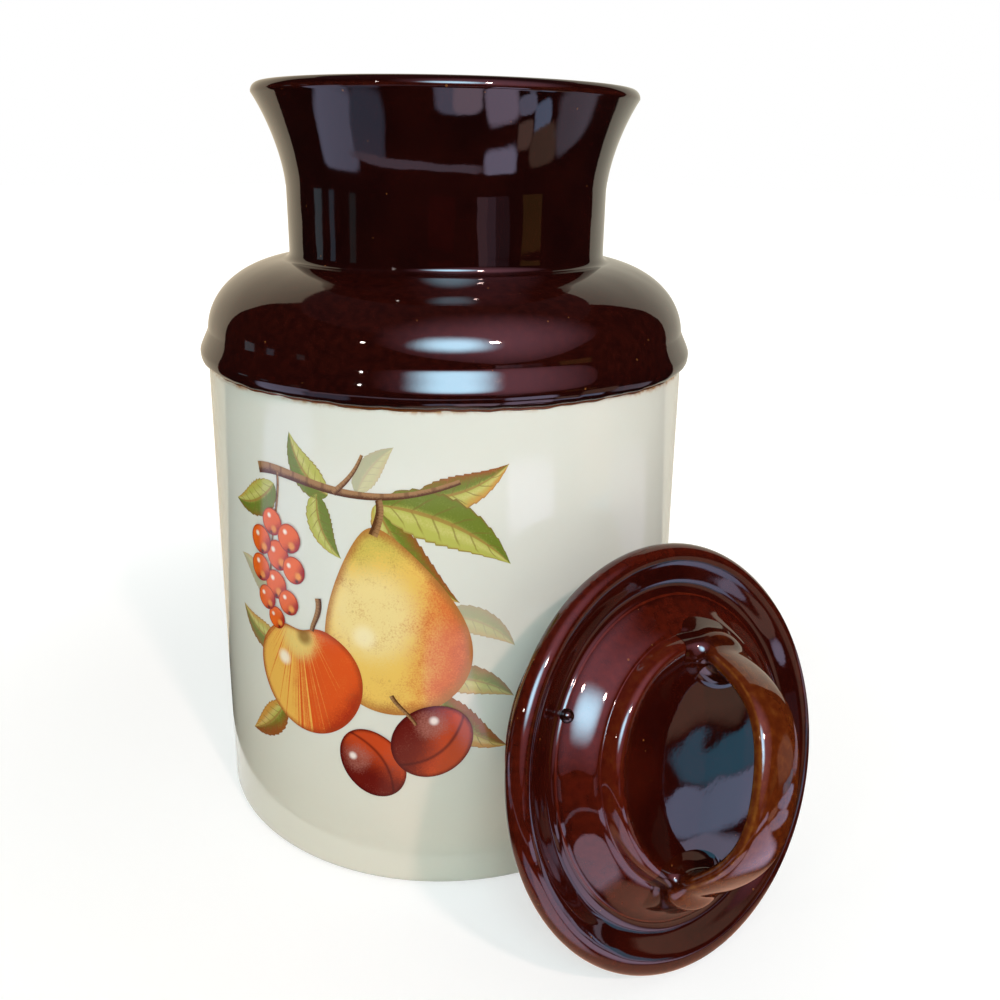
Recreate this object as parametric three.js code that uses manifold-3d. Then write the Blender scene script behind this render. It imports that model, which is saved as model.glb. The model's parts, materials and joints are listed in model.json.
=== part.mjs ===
// Stoneware cookie jar in the form of a milk can, with its lid taken off and leaned on the body.
// Millimetres, +Z up. The jar stands on z = 0 with its axis on Z, and the lid leans on it from -Y.

import * as THREE from 'three';
import { mergeVertices } from 'three/addons/utils/BufferGeometryUtils.js';
import Module from 'manifold-3d';

// Jar, bare clay
const BASE_RADIUS = 86.7;
const BODY_TOP_RADIUS = 84.4;
const FOOT_ROUND = 3.5;
const BODY_HEIGHT = 166.8;
const BEAD_RADIUS = 86.4;
const BEAD_CREST = 4.2;
const BEAD_HEIGHT = 11.7;
const SHOULDER_HEIGHT = 22;
const NECK_RADIUS = 54.6;
const NECK_FILLET = 3.5;
const NECK_HEIGHT = 19;
const FLARE_HEIGHT = 33.1;
const RIM_RADIUS = 64.4;
const LIP_ROUND = 2.4;
const WALL = 5.2;
const FLOOR = 7;
const FLOOR_ROUND = 9;

// Brown dip glaze over the bead, shoulder, neck and mouth
const GLAZE = 0.5;
const GLAZE_DROP = 1.3;

// Lid; its heights are counted from the seat under the brim
const BRIM_OVERHANG = 0.3;
const BRIM_THICKNESS = 7.8;
const EDGE_ROUND = 3.8;
const CHANNEL_WIDTH = 8.2;
const CHANNEL_FLOOR = 4;
const RING_FOOT_RADIUS = 49.6;
const RING_FOOT_STEP = 1.4;
const RING_RADIUS = 38.5;
const RING_RISE = 11.7;
const PLATEAU_RADIUS = 34.5;
const PLATEAU_RISE = 16.5;
const COLLAR_DEPTH = 21;
const COLLAR_WALL = 5;
const COLLAR_ROUND = 2;
const COLLAR_CLEARANCE = 3;
const LID_WALL = 5.5;

// Strap handle, luted to the lid's plateau; the span is between the sunk ends of its centre line
const STRAP_WIDTH = 17.5;
const STRAP_THICKNESS = 6.6;
const STRAP_SPAN = 78;
const STRAP_RISE = 29;
const FOOT_PAD_LENGTH = 13;
const FOOT_PAD_WIDTH = 19.4;
const FOOT_PAD_RISE = 3.6;
const HANDLE_TURN = 23;
const HANDLE_SHIFT = 2;

// Pose of the lid: its brim on the floor, its collar against the jar
const LEAN = 18;
const SIDESTEP = 2.6;
const SEAM_GAP = 0.3;

// Fullness of the curves, as shares of the run or rise that each one spans
const BEAD_TUCK = 0.2;
const BEAD_EASE = 0.72;
const SHOULDER_SPRING = 0.04;
const SHOULDER_FULLNESS = 0.52;
const SHOULDER_FLATNESS = 0.45;
const SHOULDER_FALL = 0.1;
const FLARE_EASE = 0.3;
const MOUTH_EASE = 0.35;
const RING_SPRING = 0.31;
const RING_FULLNESS = 0.1;
const RING_FLATNESS = 0.28;
const RISER_FULLNESS = 0.6;
const STRAP_KNEE = 0.47;
const STRAP_LEG = 0.72;
const STRAP_CROWN = 0.62;

// Facets
const TURNS = 40;
const CURVE_STEPS = 4;
const STRAP_STEPS = 22;
const STRAP_SIDES = 14;
const PAD_SIDES = 16;
const PAD_RINGS = 10;
const WELD_DISTANCE = 1e-4;

const wasm = await Module();
wasm.setup();

const creamGlaze = new THREE.MeshStandardMaterial({ color: 0xdad6c6, roughness: 0.18, metalness: 0 });
const brownGlaze = new THREE.MeshStandardMaterial({ color: 0x3a120a, roughness: 0.08, metalness: 0 });
const lidGlaze = new THREE.MeshStandardMaterial({ color: 0x431309, roughness: 0.07, metalness: 0 });
const handleGlaze = new THREE.MeshStandardMaterial({ color: 0x4a1c0a, roughness: 0.07, metalness: 0 });

// Heights up the jar
const glazeLine = BODY_HEIGHT - GLAZE_DROP;
const beadTop = BODY_HEIGHT + BEAD_HEIGHT;
const shoulderTop = beadTop + SHOULDER_HEIGHT;
const neckRoot = shoulderTop + NECK_FILLET;
const neckTop = neckRoot + NECK_HEIGHT;
const clayTop = neckTop + FLARE_HEIGHT;
const rimTop = clayTop + GLAZE;

function bodyRadius(z) {
  const t = (z - FOOT_ROUND) / (BODY_HEIGHT - FOOT_ROUND);
  return THREE.MathUtils.lerp(BASE_RADIUS, BODY_TOP_RADIUS, t);
}

function outline(draw) {
  const path = new THREE.Path();
  draw(path);
  return path.getPoints(CURVE_STEPS);
}

// The same outline moved sideways, to its right as it is drawn
function offset(points, distance) {
  const normals = points.slice(1).map((p, i) => {
    const along = p.clone().sub(points[i]).normalize();
    return new THREE.Vector2(along.y, -along.x);
  });
  return points.map((p, i) => {
    const before = normals[Math.max(i - 1, 0)];
    const after = normals[Math.min(i, normals.length - 1)];
    const mid = before.clone().add(after).normalize();
    return p.clone().addScaledVector(mid, distance / mid.dot(after));
  });
}

function turned(points) {
  return new THREE.LatheGeometry(points, TURNS).rotateX(Math.PI / 2);
}

function radiusAt(points, height) {
  const i = points.findIndex((p, k) => k > 0 && (p.y - height) * (points[k - 1].y - height) <= 0);
  const t = (height - points[i - 1].y) / (points[i].y - points[i - 1].y);
  return THREE.MathUtils.lerp(points[i - 1].x, points[i].x, t);
}

// Jar wall from the middle of the base up to the glaze line
const bareOutside = outline((p) => {
  p.moveTo(0, 0);
  p.lineTo(BASE_RADIUS - FOOT_ROUND, 0);
  p.absarc(BASE_RADIUS - FOOT_ROUND, FOOT_ROUND, FOOT_ROUND, -Math.PI / 2, 0, false);
  p.lineTo(bodyRadius(glazeLine), glazeLine);
});

// Clay under the brown glaze: bead, shoulder, neck, flare, lip, and down the mouth
const shoulderFoot = BODY_TOP_RADIUS - 2 * GLAZE;
const shoulderEnd = NECK_RADIUS + NECK_FILLET;
const shoulderRun = shoulderFoot - shoulderEnd;
const boreRadius = NECK_RADIUS - WALL;
const lipCentre = RIM_RADIUS - LIP_ROUND;
const lipInside = lipCentre - LIP_ROUND;
const glazedClay = outline((p) => {
  p.moveTo(bodyRadius(glazeLine), glazeLine);
  p.lineTo(BODY_TOP_RADIUS, BODY_HEIGHT);
  p.quadraticCurveTo(
    BEAD_RADIUS, BODY_HEIGHT + BEAD_TUCK * BEAD_CREST,
    BEAD_RADIUS, BODY_HEIGHT + BEAD_CREST,
  );
  p.bezierCurveTo(
    BEAD_RADIUS, BODY_HEIGHT + BEAD_EASE * BEAD_HEIGHT,
    shoulderFoot, BODY_HEIGHT + BEAD_EASE * BEAD_HEIGHT,
    shoulderFoot, beadTop,
  );
  p.bezierCurveTo(
    shoulderFoot - SHOULDER_SPRING * shoulderRun, beadTop + SHOULDER_FULLNESS * SHOULDER_HEIGHT,
    shoulderFoot - SHOULDER_FLATNESS * shoulderRun, shoulderTop - SHOULDER_FALL * SHOULDER_HEIGHT,
    shoulderEnd, shoulderTop,
  );
  p.quadraticCurveTo(NECK_RADIUS, shoulderTop, NECK_RADIUS, neckRoot);
  p.lineTo(NECK_RADIUS, neckTop);
  p.bezierCurveTo(
    NECK_RADIUS, neckTop + FLARE_EASE * FLARE_HEIGHT,
    lipInside, clayTop - FLARE_EASE * FLARE_HEIGHT,
    RIM_RADIUS, clayTop - LIP_ROUND,
  );
  p.absarc(lipCentre, clayTop - LIP_ROUND, LIP_ROUND, 0, Math.PI, false);
  p.bezierCurveTo(
    lipInside - MOUTH_EASE * (lipInside - boreRadius), clayTop - MOUTH_EASE * FLARE_HEIGHT,
    boreRadius, neckTop + FLARE_EASE * FLARE_HEIGHT,
    boreRadius, neckTop,
  );
});

// Inside of the jar from the mouth down to the middle of the floor
const bareInside = outline((p) => {
  const insideFoot = shoulderFoot - WALL;
  const insideTop = shoulderTop - WALL;
  p.moveTo(boreRadius, neckTop);
  p.lineTo(boreRadius, neckRoot);
  p.quadraticCurveTo(boreRadius, insideTop, shoulderEnd, insideTop);
  p.bezierCurveTo(
    insideFoot - SHOULDER_FLATNESS * shoulderRun, insideTop - SHOULDER_FALL * SHOULDER_HEIGHT,
    insideFoot, beadTop - WALL + SHOULDER_FULLNESS * SHOULDER_HEIGHT,
    insideFoot, beadTop - WALL,
  );
  p.lineTo(BASE_RADIUS - WALL, FLOOR + FLOOR_ROUND);
  p.absarc(BASE_RADIUS - WALL - FLOOR_ROUND, FLOOR + FLOOR_ROUND, FLOOR_ROUND, 0, -Math.PI / 2, true);
  p.lineTo(0, FLOOR);
});

const glazeSkin = offset(glazedClay, GLAZE);

function jarBody() {
  const profile = [...bareOutside, ...glazedClay.slice(1), ...bareInside.slice(1)];
  const mesh = new THREE.Mesh(turned(profile), creamGlaze);
  mesh.name = 'jar_body';
  return mesh;
}

function shoulderGlaze() {
  const profile = [...glazeSkin, ...glazedClay.toReversed(), glazeSkin[0]];
  const mesh = new THREE.Mesh(turned(profile), brownGlaze);
  mesh.name = 'shoulder_glaze';
  return mesh;
}

// Lid: the brim covers the rim, and the collar clears the mouth where it reaches deepest
const brimRadius = RIM_RADIUS + GLAZE + BRIM_OVERHANG;
const skinTop = Math.max(...glazeSkin.map((p) => p.y));
const mouth = glazeSkin.slice(glazeSkin.findIndex((p) => p.y === skinTop));
const collarRadius = radiusAt(mouth, rimTop - COLLAR_DEPTH) - COLLAR_CLEARANCE;
const collarInside = collarRadius - COLLAR_WALL;
const rollCentre = brimRadius - EDGE_ROUND;
const rollHeight = BRIM_THICKNESS / 2;

const lidTop = outline((p) => {
  const ringRun = RING_FOOT_RADIUS - RING_RADIUS;
  const ringFoot = CHANNEL_FLOOR + RING_FOOT_STEP;
  p.moveTo(brimRadius, rollHeight);
  p.absellipse(rollCentre, rollHeight, EDGE_ROUND, rollHeight, 0, Math.PI / 2, false);
  p.quadraticCurveTo(
    RING_FOOT_RADIUS + CHANNEL_WIDTH, BRIM_THICKNESS,
    RING_FOOT_RADIUS + CHANNEL_WIDTH / 2, CHANNEL_FLOOR,
  );
  p.lineTo(RING_FOOT_RADIUS, ringFoot);
  p.bezierCurveTo(
    RING_FOOT_RADIUS - RING_SPRING * ringRun, THREE.MathUtils.lerp(ringFoot, RING_RISE, RING_FULLNESS),
    RING_RADIUS + RING_FLATNESS * ringRun, RING_RISE,
    RING_RADIUS, RING_RISE,
  );
  p.quadraticCurveTo(
    THREE.MathUtils.lerp(PLATEAU_RADIUS, RING_RADIUS, RISER_FULLNESS), PLATEAU_RISE,
    PLATEAU_RADIUS, PLATEAU_RISE,
  );
  p.lineTo(0, PLATEAU_RISE);
});

const lidUnder = outline((p) => {
  const foot = -COLLAR_DEPTH;
  p.moveTo(0, PLATEAU_RISE - LID_WALL);
  p.lineTo(RING_RADIUS - LID_WALL, PLATEAU_RISE - LID_WALL);
  p.quadraticCurveTo(collarInside, RING_RISE - LID_WALL, collarInside, 0);
  p.lineTo(collarInside, foot + COLLAR_ROUND);
  p.quadraticCurveTo(collarInside, foot, collarInside + COLLAR_ROUND, foot);
  p.lineTo(collarRadius - COLLAR_ROUND, foot);
  p.absarc(collarRadius - COLLAR_ROUND, foot + COLLAR_ROUND, COLLAR_ROUND, -Math.PI / 2, 0, false);
  p.lineTo(collarRadius, -COLLAR_ROUND);
  p.quadraticCurveTo(collarRadius, 0, collarRadius + COLLAR_ROUND, 0);
  p.lineTo(rollCentre, 0);
  p.absellipse(rollCentre, rollHeight, EDGE_ROUND, rollHeight, -Math.PI / 2, 0, false);
});

function lidShell() {
  const mesh = new THREE.Mesh(turned([...lidUnder, ...lidTop.slice(1)]), lidGlaze);
  mesh.name = 'lid_shell';
  return mesh;
}

function solid(geometry) {
  const bare = geometry.clone();
  bare.deleteAttribute('normal');
  bare.deleteAttribute('uv');
  const merged = mergeVertices(bare, WELD_DISTANCE);
  return new wasm.Manifold(new wasm.Mesh({
    numProp: 3,
    vertProperties: new Float32Array(merged.attributes.position.array),
    triVerts: new Uint32Array(merged.index.array),
  }));
}

function geometryOf(manifold) {
  const { vertProperties, triVerts } = manifold.getMesh();
  const geometry = new THREE.BufferGeometry();
  geometry.setAttribute('position', new THREE.BufferAttribute(vertProperties, 3));
  geometry.setIndex(new THREE.BufferAttribute(triVerts, 1));
  geometry.computeVertexNormals();
  return geometry;
}

// Arch of the strap, from one foot sunk in the plateau to the other
function strapPath() {
  const half = STRAP_SPAN / 2;
  const sunk = PLATEAU_RISE - LID_WALL - STRAP_THICKNESS / 2;
  const top = PLATEAU_RISE + STRAP_RISE - STRAP_THICKNESS / 2;
  const knee = PLATEAU_RISE + STRAP_KNEE * STRAP_RISE;
  const crown = new THREE.Vector3(0, 0, top);
  const path = new THREE.CurvePath();
  path.add(new THREE.CubicBezierCurve3(
    new THREE.Vector3(0, -half, sunk),
    new THREE.Vector3(0, -STRAP_LEG * half, knee),
    new THREE.Vector3(0, -STRAP_CROWN * half, top),
    crown,
  ));
  path.add(new THREE.CubicBezierCurve3(
    crown,
    new THREE.Vector3(0, STRAP_CROWN * half, top),
    new THREE.Vector3(0, STRAP_LEG * half, knee),
    new THREE.Vector3(0, half, sunk),
  ));
  return path;
}

function footPad(side) {
  const pad = new THREE.SphereGeometry(1, PAD_SIDES, PAD_RINGS);
  pad.scale(FOOT_PAD_WIDTH / 2, FOOT_PAD_LENGTH / 2, FOOT_PAD_RISE);
  pad.translate(0, side * PLATEAU_RADIUS - HANDLE_SHIFT, PLATEAU_RISE);
  return solid(pad);
}

function lidHandle() {
  const section = new THREE.Shape();
  section.absellipse(0, 0, STRAP_WIDTH / 2, STRAP_THICKNESS / 2, 0, 2 * Math.PI);
  const strap = new THREE.ExtrudeGeometry(new THREE.Shape(section.getSpacedPoints(STRAP_SIDES)), {
    steps: STRAP_STEPS,
    extrudePath: strapPath(),
  });
  const bed = [new THREE.Vector2(0, 0), new THREE.Vector2(brimRadius, 0), ...offset(lidTop, SEAM_GAP)];
  strap.translate(0, -HANDLE_SHIFT, 0);
  const handle = solid(strap).add(footPad(-1)).add(footPad(1)).subtract(solid(turned(bed)));
  const mesh = new THREE.Mesh(geometryOf(handle), handleGlaze);
  mesh.name = 'lid_handle';
  mesh.rotation.z = -THREE.MathUtils.degToRad(HANDLE_TURN);
  return mesh;
}

// The lid stands on its brim and leans back until the collar's foot meets the jar
function leaningLid() {
  const lean = THREE.MathUtils.degToRad(LEAN);
  const edgeReach = Math.hypot(EDGE_ROUND * Math.cos(lean), rollHeight * Math.sin(lean));
  const seatHeight = rollCentre * Math.cos(lean) - rollHeight * Math.sin(lean) + edgeReach;
  const footAcross = collarRadius - COLLAR_ROUND;
  const footBehind = COLLAR_DEPTH - COLLAR_ROUND;
  const contactHeight = seatHeight + footAcross * Math.cos(lean) - footBehind * Math.sin(lean);
  const contactRadius = bodyRadius(contactHeight) + COLLAR_ROUND + SEAM_GAP;
  const seatDistance = contactRadius + footAcross * Math.sin(lean) + footBehind * Math.cos(lean);
  const lid = new THREE.Group();
  lid.add(lidShell(), lidHandle());
  lid.position.set(-SIDESTEP, -seatDistance, seatHeight);
  lid.rotation.x = Math.PI / 2 - lean;
  return lid;
}

const cookieJar = new THREE.Group();
cookieJar.add(jarBody(), shoulderGlaze(), leaningLid());

export default cookieJar;
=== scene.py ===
import json
import math

import bpy
import numpy as np
from mathutils import Matrix, Vector


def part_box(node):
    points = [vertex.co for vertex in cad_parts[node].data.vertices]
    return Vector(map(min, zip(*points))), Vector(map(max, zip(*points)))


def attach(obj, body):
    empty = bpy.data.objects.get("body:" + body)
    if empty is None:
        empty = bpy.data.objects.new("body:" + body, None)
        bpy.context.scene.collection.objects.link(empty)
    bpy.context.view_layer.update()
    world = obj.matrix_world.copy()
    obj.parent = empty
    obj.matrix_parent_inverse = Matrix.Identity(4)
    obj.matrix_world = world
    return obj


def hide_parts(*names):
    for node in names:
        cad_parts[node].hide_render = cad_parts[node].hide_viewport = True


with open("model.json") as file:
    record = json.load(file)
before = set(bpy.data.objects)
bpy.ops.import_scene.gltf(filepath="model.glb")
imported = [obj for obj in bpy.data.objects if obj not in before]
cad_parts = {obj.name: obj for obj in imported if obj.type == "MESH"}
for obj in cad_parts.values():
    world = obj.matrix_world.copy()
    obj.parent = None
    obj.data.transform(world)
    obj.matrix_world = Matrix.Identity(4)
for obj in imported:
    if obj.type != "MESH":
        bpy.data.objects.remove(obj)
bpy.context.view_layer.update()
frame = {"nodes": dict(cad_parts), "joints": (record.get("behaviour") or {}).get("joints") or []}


# Jar body: one slip-cast stoneware pot, a plain tapering wall on a flat base, drawn in to a neck.
# It is coated inside and out with a glossy cream glaze, and the base is wiped bare so that it
# does not stick to the kiln shelf.
base_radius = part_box("jar_body")[1].x
clay_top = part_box("jar_body")[1].z
glaze_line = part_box("shoulder_glaze")[0].z
GLAZE_DROP = 0.0013
WALL_TOP_RADIUS = 0.0844
FOOT_ROUND = 0.0035
BEAD_RADIUS = 0.0864
BEAD_CREST = 0.0042
BEAD_HEIGHT = 0.0117
BEAD_TUCK = 0.0006
BEAD_STEP = 0.0002
BEAD_FULLNESS = 0.4
BEAD_EASE = 0.0013
SHOULDER_FOOT = 0.0834
SHOULDER_HEIGHT = 0.022
SHOULDER_LEAN = 0.04
SHOULDER_SWELL = 0.52
SHOULDER_ROUND = 0.45
SHOULDER_DIP = 0.1
NECK_RADIUS = 0.0546
NECK_FILLET = 0.0035
NECK_PULL = 0.33
NECK_HEIGHT = 0.019
FLARE_HEIGHT = 0.0331
FLARE_PULL = 0.3
MOUTH_PULL = 0.35
RIM_RADIUS = 0.0644
LIP_ROUND = 0.0024
WALL = 0.0052
INSIDE_FILLET = 0.003
FLOOR = 0.007
FLOOR_ROUND = 0.009
FRINGE = 0.004
CAST_WOBBLE = 0.00018
UNDER_GLAZE = 0.0001
HALO_REACH = 0.0012
EDGE_LIFT = 0.0007
WIPED_HEIGHT = 0.0012
WIPED_START = 1.2
TURNS = 288

bead_foot = glaze_line + GLAZE_DROP
bead_top = bead_foot + BEAD_HEIGHT
bead_crest = bead_foot + BEAD_CREST
shoulder_top = bead_top + SHOULDER_HEIGHT
shoulder_end = NECK_RADIUS + NECK_FILLET
shoulder_run = SHOULDER_FOOT - shoulder_end
neck_root = shoulder_top + NECK_FILLET
neck_top = neck_root + NECK_HEIGHT
bore_radius = NECK_RADIUS - WALL


class Outline:
    """A profile of (radius, height) points, drawn stroke by stroke from where the last one ended."""

    def __init__(self, *start):
        self.points = np.array([start], float)

    def add(self, points):
        self.points = np.vstack([self.points, points])
        return self

    def line(self, end, steps):
        t = np.linspace(0, 1, steps + 1)[1:, None]
        return self.add(self.points[-1] * (1 - t) + np.array(end) * t)

    def bend(self, leaving, arriving, end, steps):
        """A smooth bend, pulled towards one point as it leaves and another as it arrives."""
        t = np.linspace(0, 1, steps + 1)[1:, None]
        a, b, c, d = (np.array(p) for p in (self.points[-1], leaving, arriving, end))
        return self.add(a * (1 - t) ** 3 + 3 * b * t * (1 - t) ** 2 + 3 * c * t * t * (1 - t) + d * t ** 3)

    def round(self, centre, across, up, start, end, steps):
        """Part of an oval, from one angle to another in degrees."""
        t = np.radians(np.linspace(start, end, steps + 1)[1:, None])
        return self.add(np.array(centre) + np.hstack([across * np.cos(t), up * np.sin(t)]))


def offset(outline, distance):
    """The outline moved to its right as it is drawn."""
    along = np.gradient(outline, axis=0)
    along /= np.linalg.norm(along, axis=1)[:, None]
    return outline + distance * np.column_stack([along[:, 1], -along[:, 0]])


def wall_radius(height):
    share = (height - FOOT_ROUND) / (bead_foot - FOOT_ROUND)
    return base_radius + (WALL_TOP_RADIUS - base_radius) * share


def casting_wobble(angle, height, depth):
    """How far the wall of a cast pot lies inside its true round, from 0 to depth."""
    waves = (
        0.5 * np.sin(2 * angle + 21 * height + 0.7)
        + 0.3 * np.sin(3 * angle - 37 * height + 2.1)
        + 0.2 * np.sin(7 * angle + 90 * height + 4.0)
    )
    return depth * (0.5 + 0.5 * waves)


def mesh_object(name, points, faces, material):
    mesh = bpy.data.meshes.new(name)
    mesh.from_pydata([tuple(p) for p in points], [], faces)
    mesh.shade_smooth()
    mesh.materials.append(material)
    made = bpy.data.objects.new(name, mesh)
    bpy.context.scene.collection.objects.link(made)
    return made


def turned(name, outline, material, wobble=0.0, turns=TURNS):
    """Revolves an outline of (radius, height) points that ends on the axis or meets its own start."""
    closed = np.allclose(outline[0], outline[-1])
    rows = outline[:-1] if closed else outline
    angle = np.linspace(0, 2 * np.pi, turns, endpoint=False)
    radius = np.repeat(rows[:, :1], turns, axis=1)
    height = np.repeat(rows[:, 1:], turns, axis=1)
    radius = np.maximum(radius - casting_wobble(angle[None, :], height, wobble) * (radius > 0), 0)
    points, rings = [], []
    for r, h in zip(radius, height):
        first = len(points)
        if r.max() < 1e-9:
            points.append((0.0, 0.0, h[0]))
            rings.append([first] * turns)
        else:
            points.extend(zip(r * np.sin(angle), -r * np.cos(angle), h))
            rings.append(list(range(first, first + turns)))
    faces = []
    pairs = list(zip(rings, rings[1:])) + ([(rings[-1], rings[0])] if closed else [])
    for low, high in pairs:
        for i in range(turns):
            j = (i + 1) % turns
            corners = [low[i], low[j], high[j], high[i]]
            faces.append([c for k, c in enumerate(corners) if c not in corners[:k]])
    return mesh_object(name, points, faces, material)


def paint(piece, name, values):
    layer = piece.data.attributes.new(name, "FLOAT", "POINT")
    layer.data.foreach_set("value", np.asarray(values, np.float32))


def points_of(piece):
    flat = np.zeros(len(piece.data.vertices) * 3, np.float32)
    piece.data.vertices.foreach_get("co", flat)
    return flat.reshape(-1, 3).astype(float)


class Recipe:
    """The nodes that mix one glaze, ink or other finish, with short ways to add and join them."""

    def __init__(self, tree):
        self.nodes = tree.nodes
        self.links = tree.links

    def join(self, source, socket):
        """Feeds a socket from another one, or sets a plain value on it."""
        if isinstance(source, bpy.types.NodeSocket):
            self.links.new(source, socket)
        else:
            socket.default_value = source

    def node(self, kind, **settings):
        made = self.nodes.new("ShaderNode" + kind)
        for key, value in settings.items():
            if hasattr(made, key):
                setattr(made, key, value)
            else:
                self.join(value, made.inputs[key.replace("_", " ")])
        return made

    def placed(self, group, **values):
        return self.node("Group", node_tree=group, **values)

    def place(self):
        return self.node("TexCoord").outputs["Object"]

    def noise(self, scale, detail):
        return self.node("TexNoise", Vector=self.place(), Scale=scale, Detail=detail).outputs["Fac"]

    def mark(self, name):
        """A value painted on the points of the mesh."""
        return self.node("Attribute", attribute_name=name).outputs["Fac"]

    def math(self, operation, *values):
        made = self.node("Math", operation=operation)
        for value, socket in zip(values, made.inputs):
            self.join(value, socket)
        return made.outputs[0]

    def mix(self, share, first, second):
        made = self.node("Mix", data_type="RGBA")
        for value, socket in ((share, 0), (first, 6), (second, 7)):
            self.join(value, made.inputs[socket])
        return made.outputs[2]

    def ramp(self, value, low, high, first=0.0, last=1.0):
        """A soft step from first, where the value is low, to last, where it is high."""
        made = self.node("MapRange", interpolation_type="SMOOTHSTEP", Value=value,
                         From_Min=low, From_Max=high, To_Min=first, To_Max=last)
        return made.outputs["Result"]


def new_finish(name):
    material = bpy.data.materials.new(name)
    material.use_nodes = True
    recipe = Recipe(material.node_tree)
    return material, recipe, recipe.nodes["Principled BSDF"]


NUMBER = "NodeSocketFloat"
COLOUR = "NodeSocketColor"


def effect(name, inputs, outputs):
    """A node group from its inputs' first values and its outputs' kinds."""
    group = bpy.data.node_groups.new(name, "ShaderNodeTree")
    for socket, value in inputs.items():
        kind = COLOUR if isinstance(value, tuple) else NUMBER
        made = group.interface.new_socket(socket, in_out="INPUT", socket_type=kind)
        made.default_value = value
    for socket, kind in outputs.items():
        group.interface.new_socket(socket, in_out="OUTPUT", socket_type=kind)
    recipe = Recipe(group)
    given = recipe.nodes.new("NodeGroupInput")
    gives = recipe.nodes.new("NodeGroupOutput")
    return group, recipe, given.outputs, gives.inputs


def kiln_flecks():
    """Small round specks of iron and ash that come up through a glaze, as a mask."""
    group, recipe, given, gives = effect(
        "Kiln flecks", {"Scale": 300.0, "Size": 0.1, "Share": 0.1}, {"Mask": NUMBER})
    cells = recipe.node("TexVoronoi", Vector=recipe.place(), Scale=given["Scale"])
    lot, bulk, _ = recipe.node("SeparateColor", Color=cells.outputs["Color"]).outputs
    size = recipe.math("MULTIPLY", given["Size"], bulk)
    inside = recipe.math("LESS_THAN", cells.outputs["Distance"], size)
    chosen = recipe.math("LESS_THAN", lot, given["Share"])
    recipe.join(recipe.math("MULTIPLY", inside, chosen), gives["Mask"])
    return group


def glaze_surface():
    """The uneven skin of a fired glaze: long slow ripples, fine orange peel and hazy patches."""
    group, recipe, given, gives = effect(
        "Glaze surface", {"Ripple": 0.5, "Gloss": 0.06, "Haze": 0.05},
        {"Height": NUMBER, "Roughness": NUMBER},
    )
    ripples = recipe.math("MULTIPLY", recipe.noise(45.0, 1.0), given["Ripple"])
    peel = recipe.math("MULTIPLY", recipe.noise(600.0, 2.0), 0.012)
    recipe.join(recipe.math("ADD", ripples, peel), gives["Height"])
    patches = recipe.ramp(recipe.noise(28.0, 5.0), 0.5, 0.75)
    hazed = recipe.math("MULTIPLY_ADD", patches, given["Haze"], given["Gloss"])
    recipe.join(hazed, gives["Roughness"])
    return group


BARE_CLAY = (0.56, 0.45, 0.33, 1)
BARE_GRIT = (0.40, 0.30, 0.20, 1)
BARE_ROUGHNESS = 0.85


def bare_clay():
    """Buff, gritty, matt clay laid over a glaze where the piece was wiped before the firing."""
    group, recipe, given, gives = effect(
        "Bare clay",
        {"Bare": 0.0, "Glaze Colour": (0.7, 0.7, 0.6, 1), "Glaze Roughness": 0.1, "Glaze Height": 0.0},
        {"Colour": COLOUR, "Roughness": NUMBER, "Height": NUMBER},
    )
    grit = recipe.noise(1400.0, 3.0)
    wiped = recipe.ramp(recipe.math("MULTIPLY_ADD", grit, 0.3, given["Bare"]), 0.55, 0.75)
    clay = recipe.mix(recipe.ramp(grit, 0.45, 0.7), BARE_CLAY, BARE_GRIT)
    recipe.join(recipe.mix(wiped, given["Glaze Colour"], clay), gives["Colour"])
    rough = recipe.node("Mix")
    for value, socket in ((wiped, 0), (given["Glaze Roughness"], 2), (BARE_ROUGHNESS, 3)):
        recipe.join(value, rough.inputs[socket])
    recipe.join(rough.outputs[0], gives["Roughness"])
    grain = recipe.math("MULTIPLY", recipe.math("MULTIPLY", wiped, grit), 0.5)
    recipe.join(recipe.math("ADD", given["Glaze Height"], grain), gives["Height"])
    return group


flecks_group = kiln_flecks()
surface_group = glaze_surface()
bare_group = bare_clay()


def finished(recipe, shader, colour, surface, relief, wiped=False):
    """Joins a glaze to its shader, with bare clay where a wiped piece has its bare layer painted."""
    roughness, height = surface.outputs["Roughness"], surface.outputs["Height"]
    if wiped:
        clay = recipe.placed(bare_group, Bare=recipe.mark("bare"), Glaze_Colour=colour,
                             Glaze_Roughness=roughness, Glaze_Height=height)
        colour, roughness, height = (clay.outputs[name] for name in ("Colour", "Roughness", "Height"))
    bump = recipe.node("Bump", Strength=1.0, Distance=relief, Height=height)
    recipe.join(colour, shader.inputs["Base Color"])
    recipe.join(roughness, shader.inputs["Roughness"])
    recipe.join(bump.outputs["Normal"], shader.inputs["Normal"])


CREAM = (0.735, 0.738, 0.685, 1)
# Painted warm light: this tint is mixed into the cream towards the base, in place of warm light on the lower
# wall.
CREAM_WARM_LIGHT = (0.70, 0.66, 0.56, 1)
CREAM_COOL = (0.685, 0.70, 0.65, 1)
CREAM_FLECK = (0.30, 0.20, 0.12, 1)
CARAMEL = (0.46, 0.24, 0.10, 1)
CREAM_SKIN = {"Ripple": 0.35, "Gloss": 0.09, "Haze": 0.05}
CREAM_RELIEF = 0.0004
CREAM_IOR = 1.5
WARM_LIGHT_HEIGHT = 0.11


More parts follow.
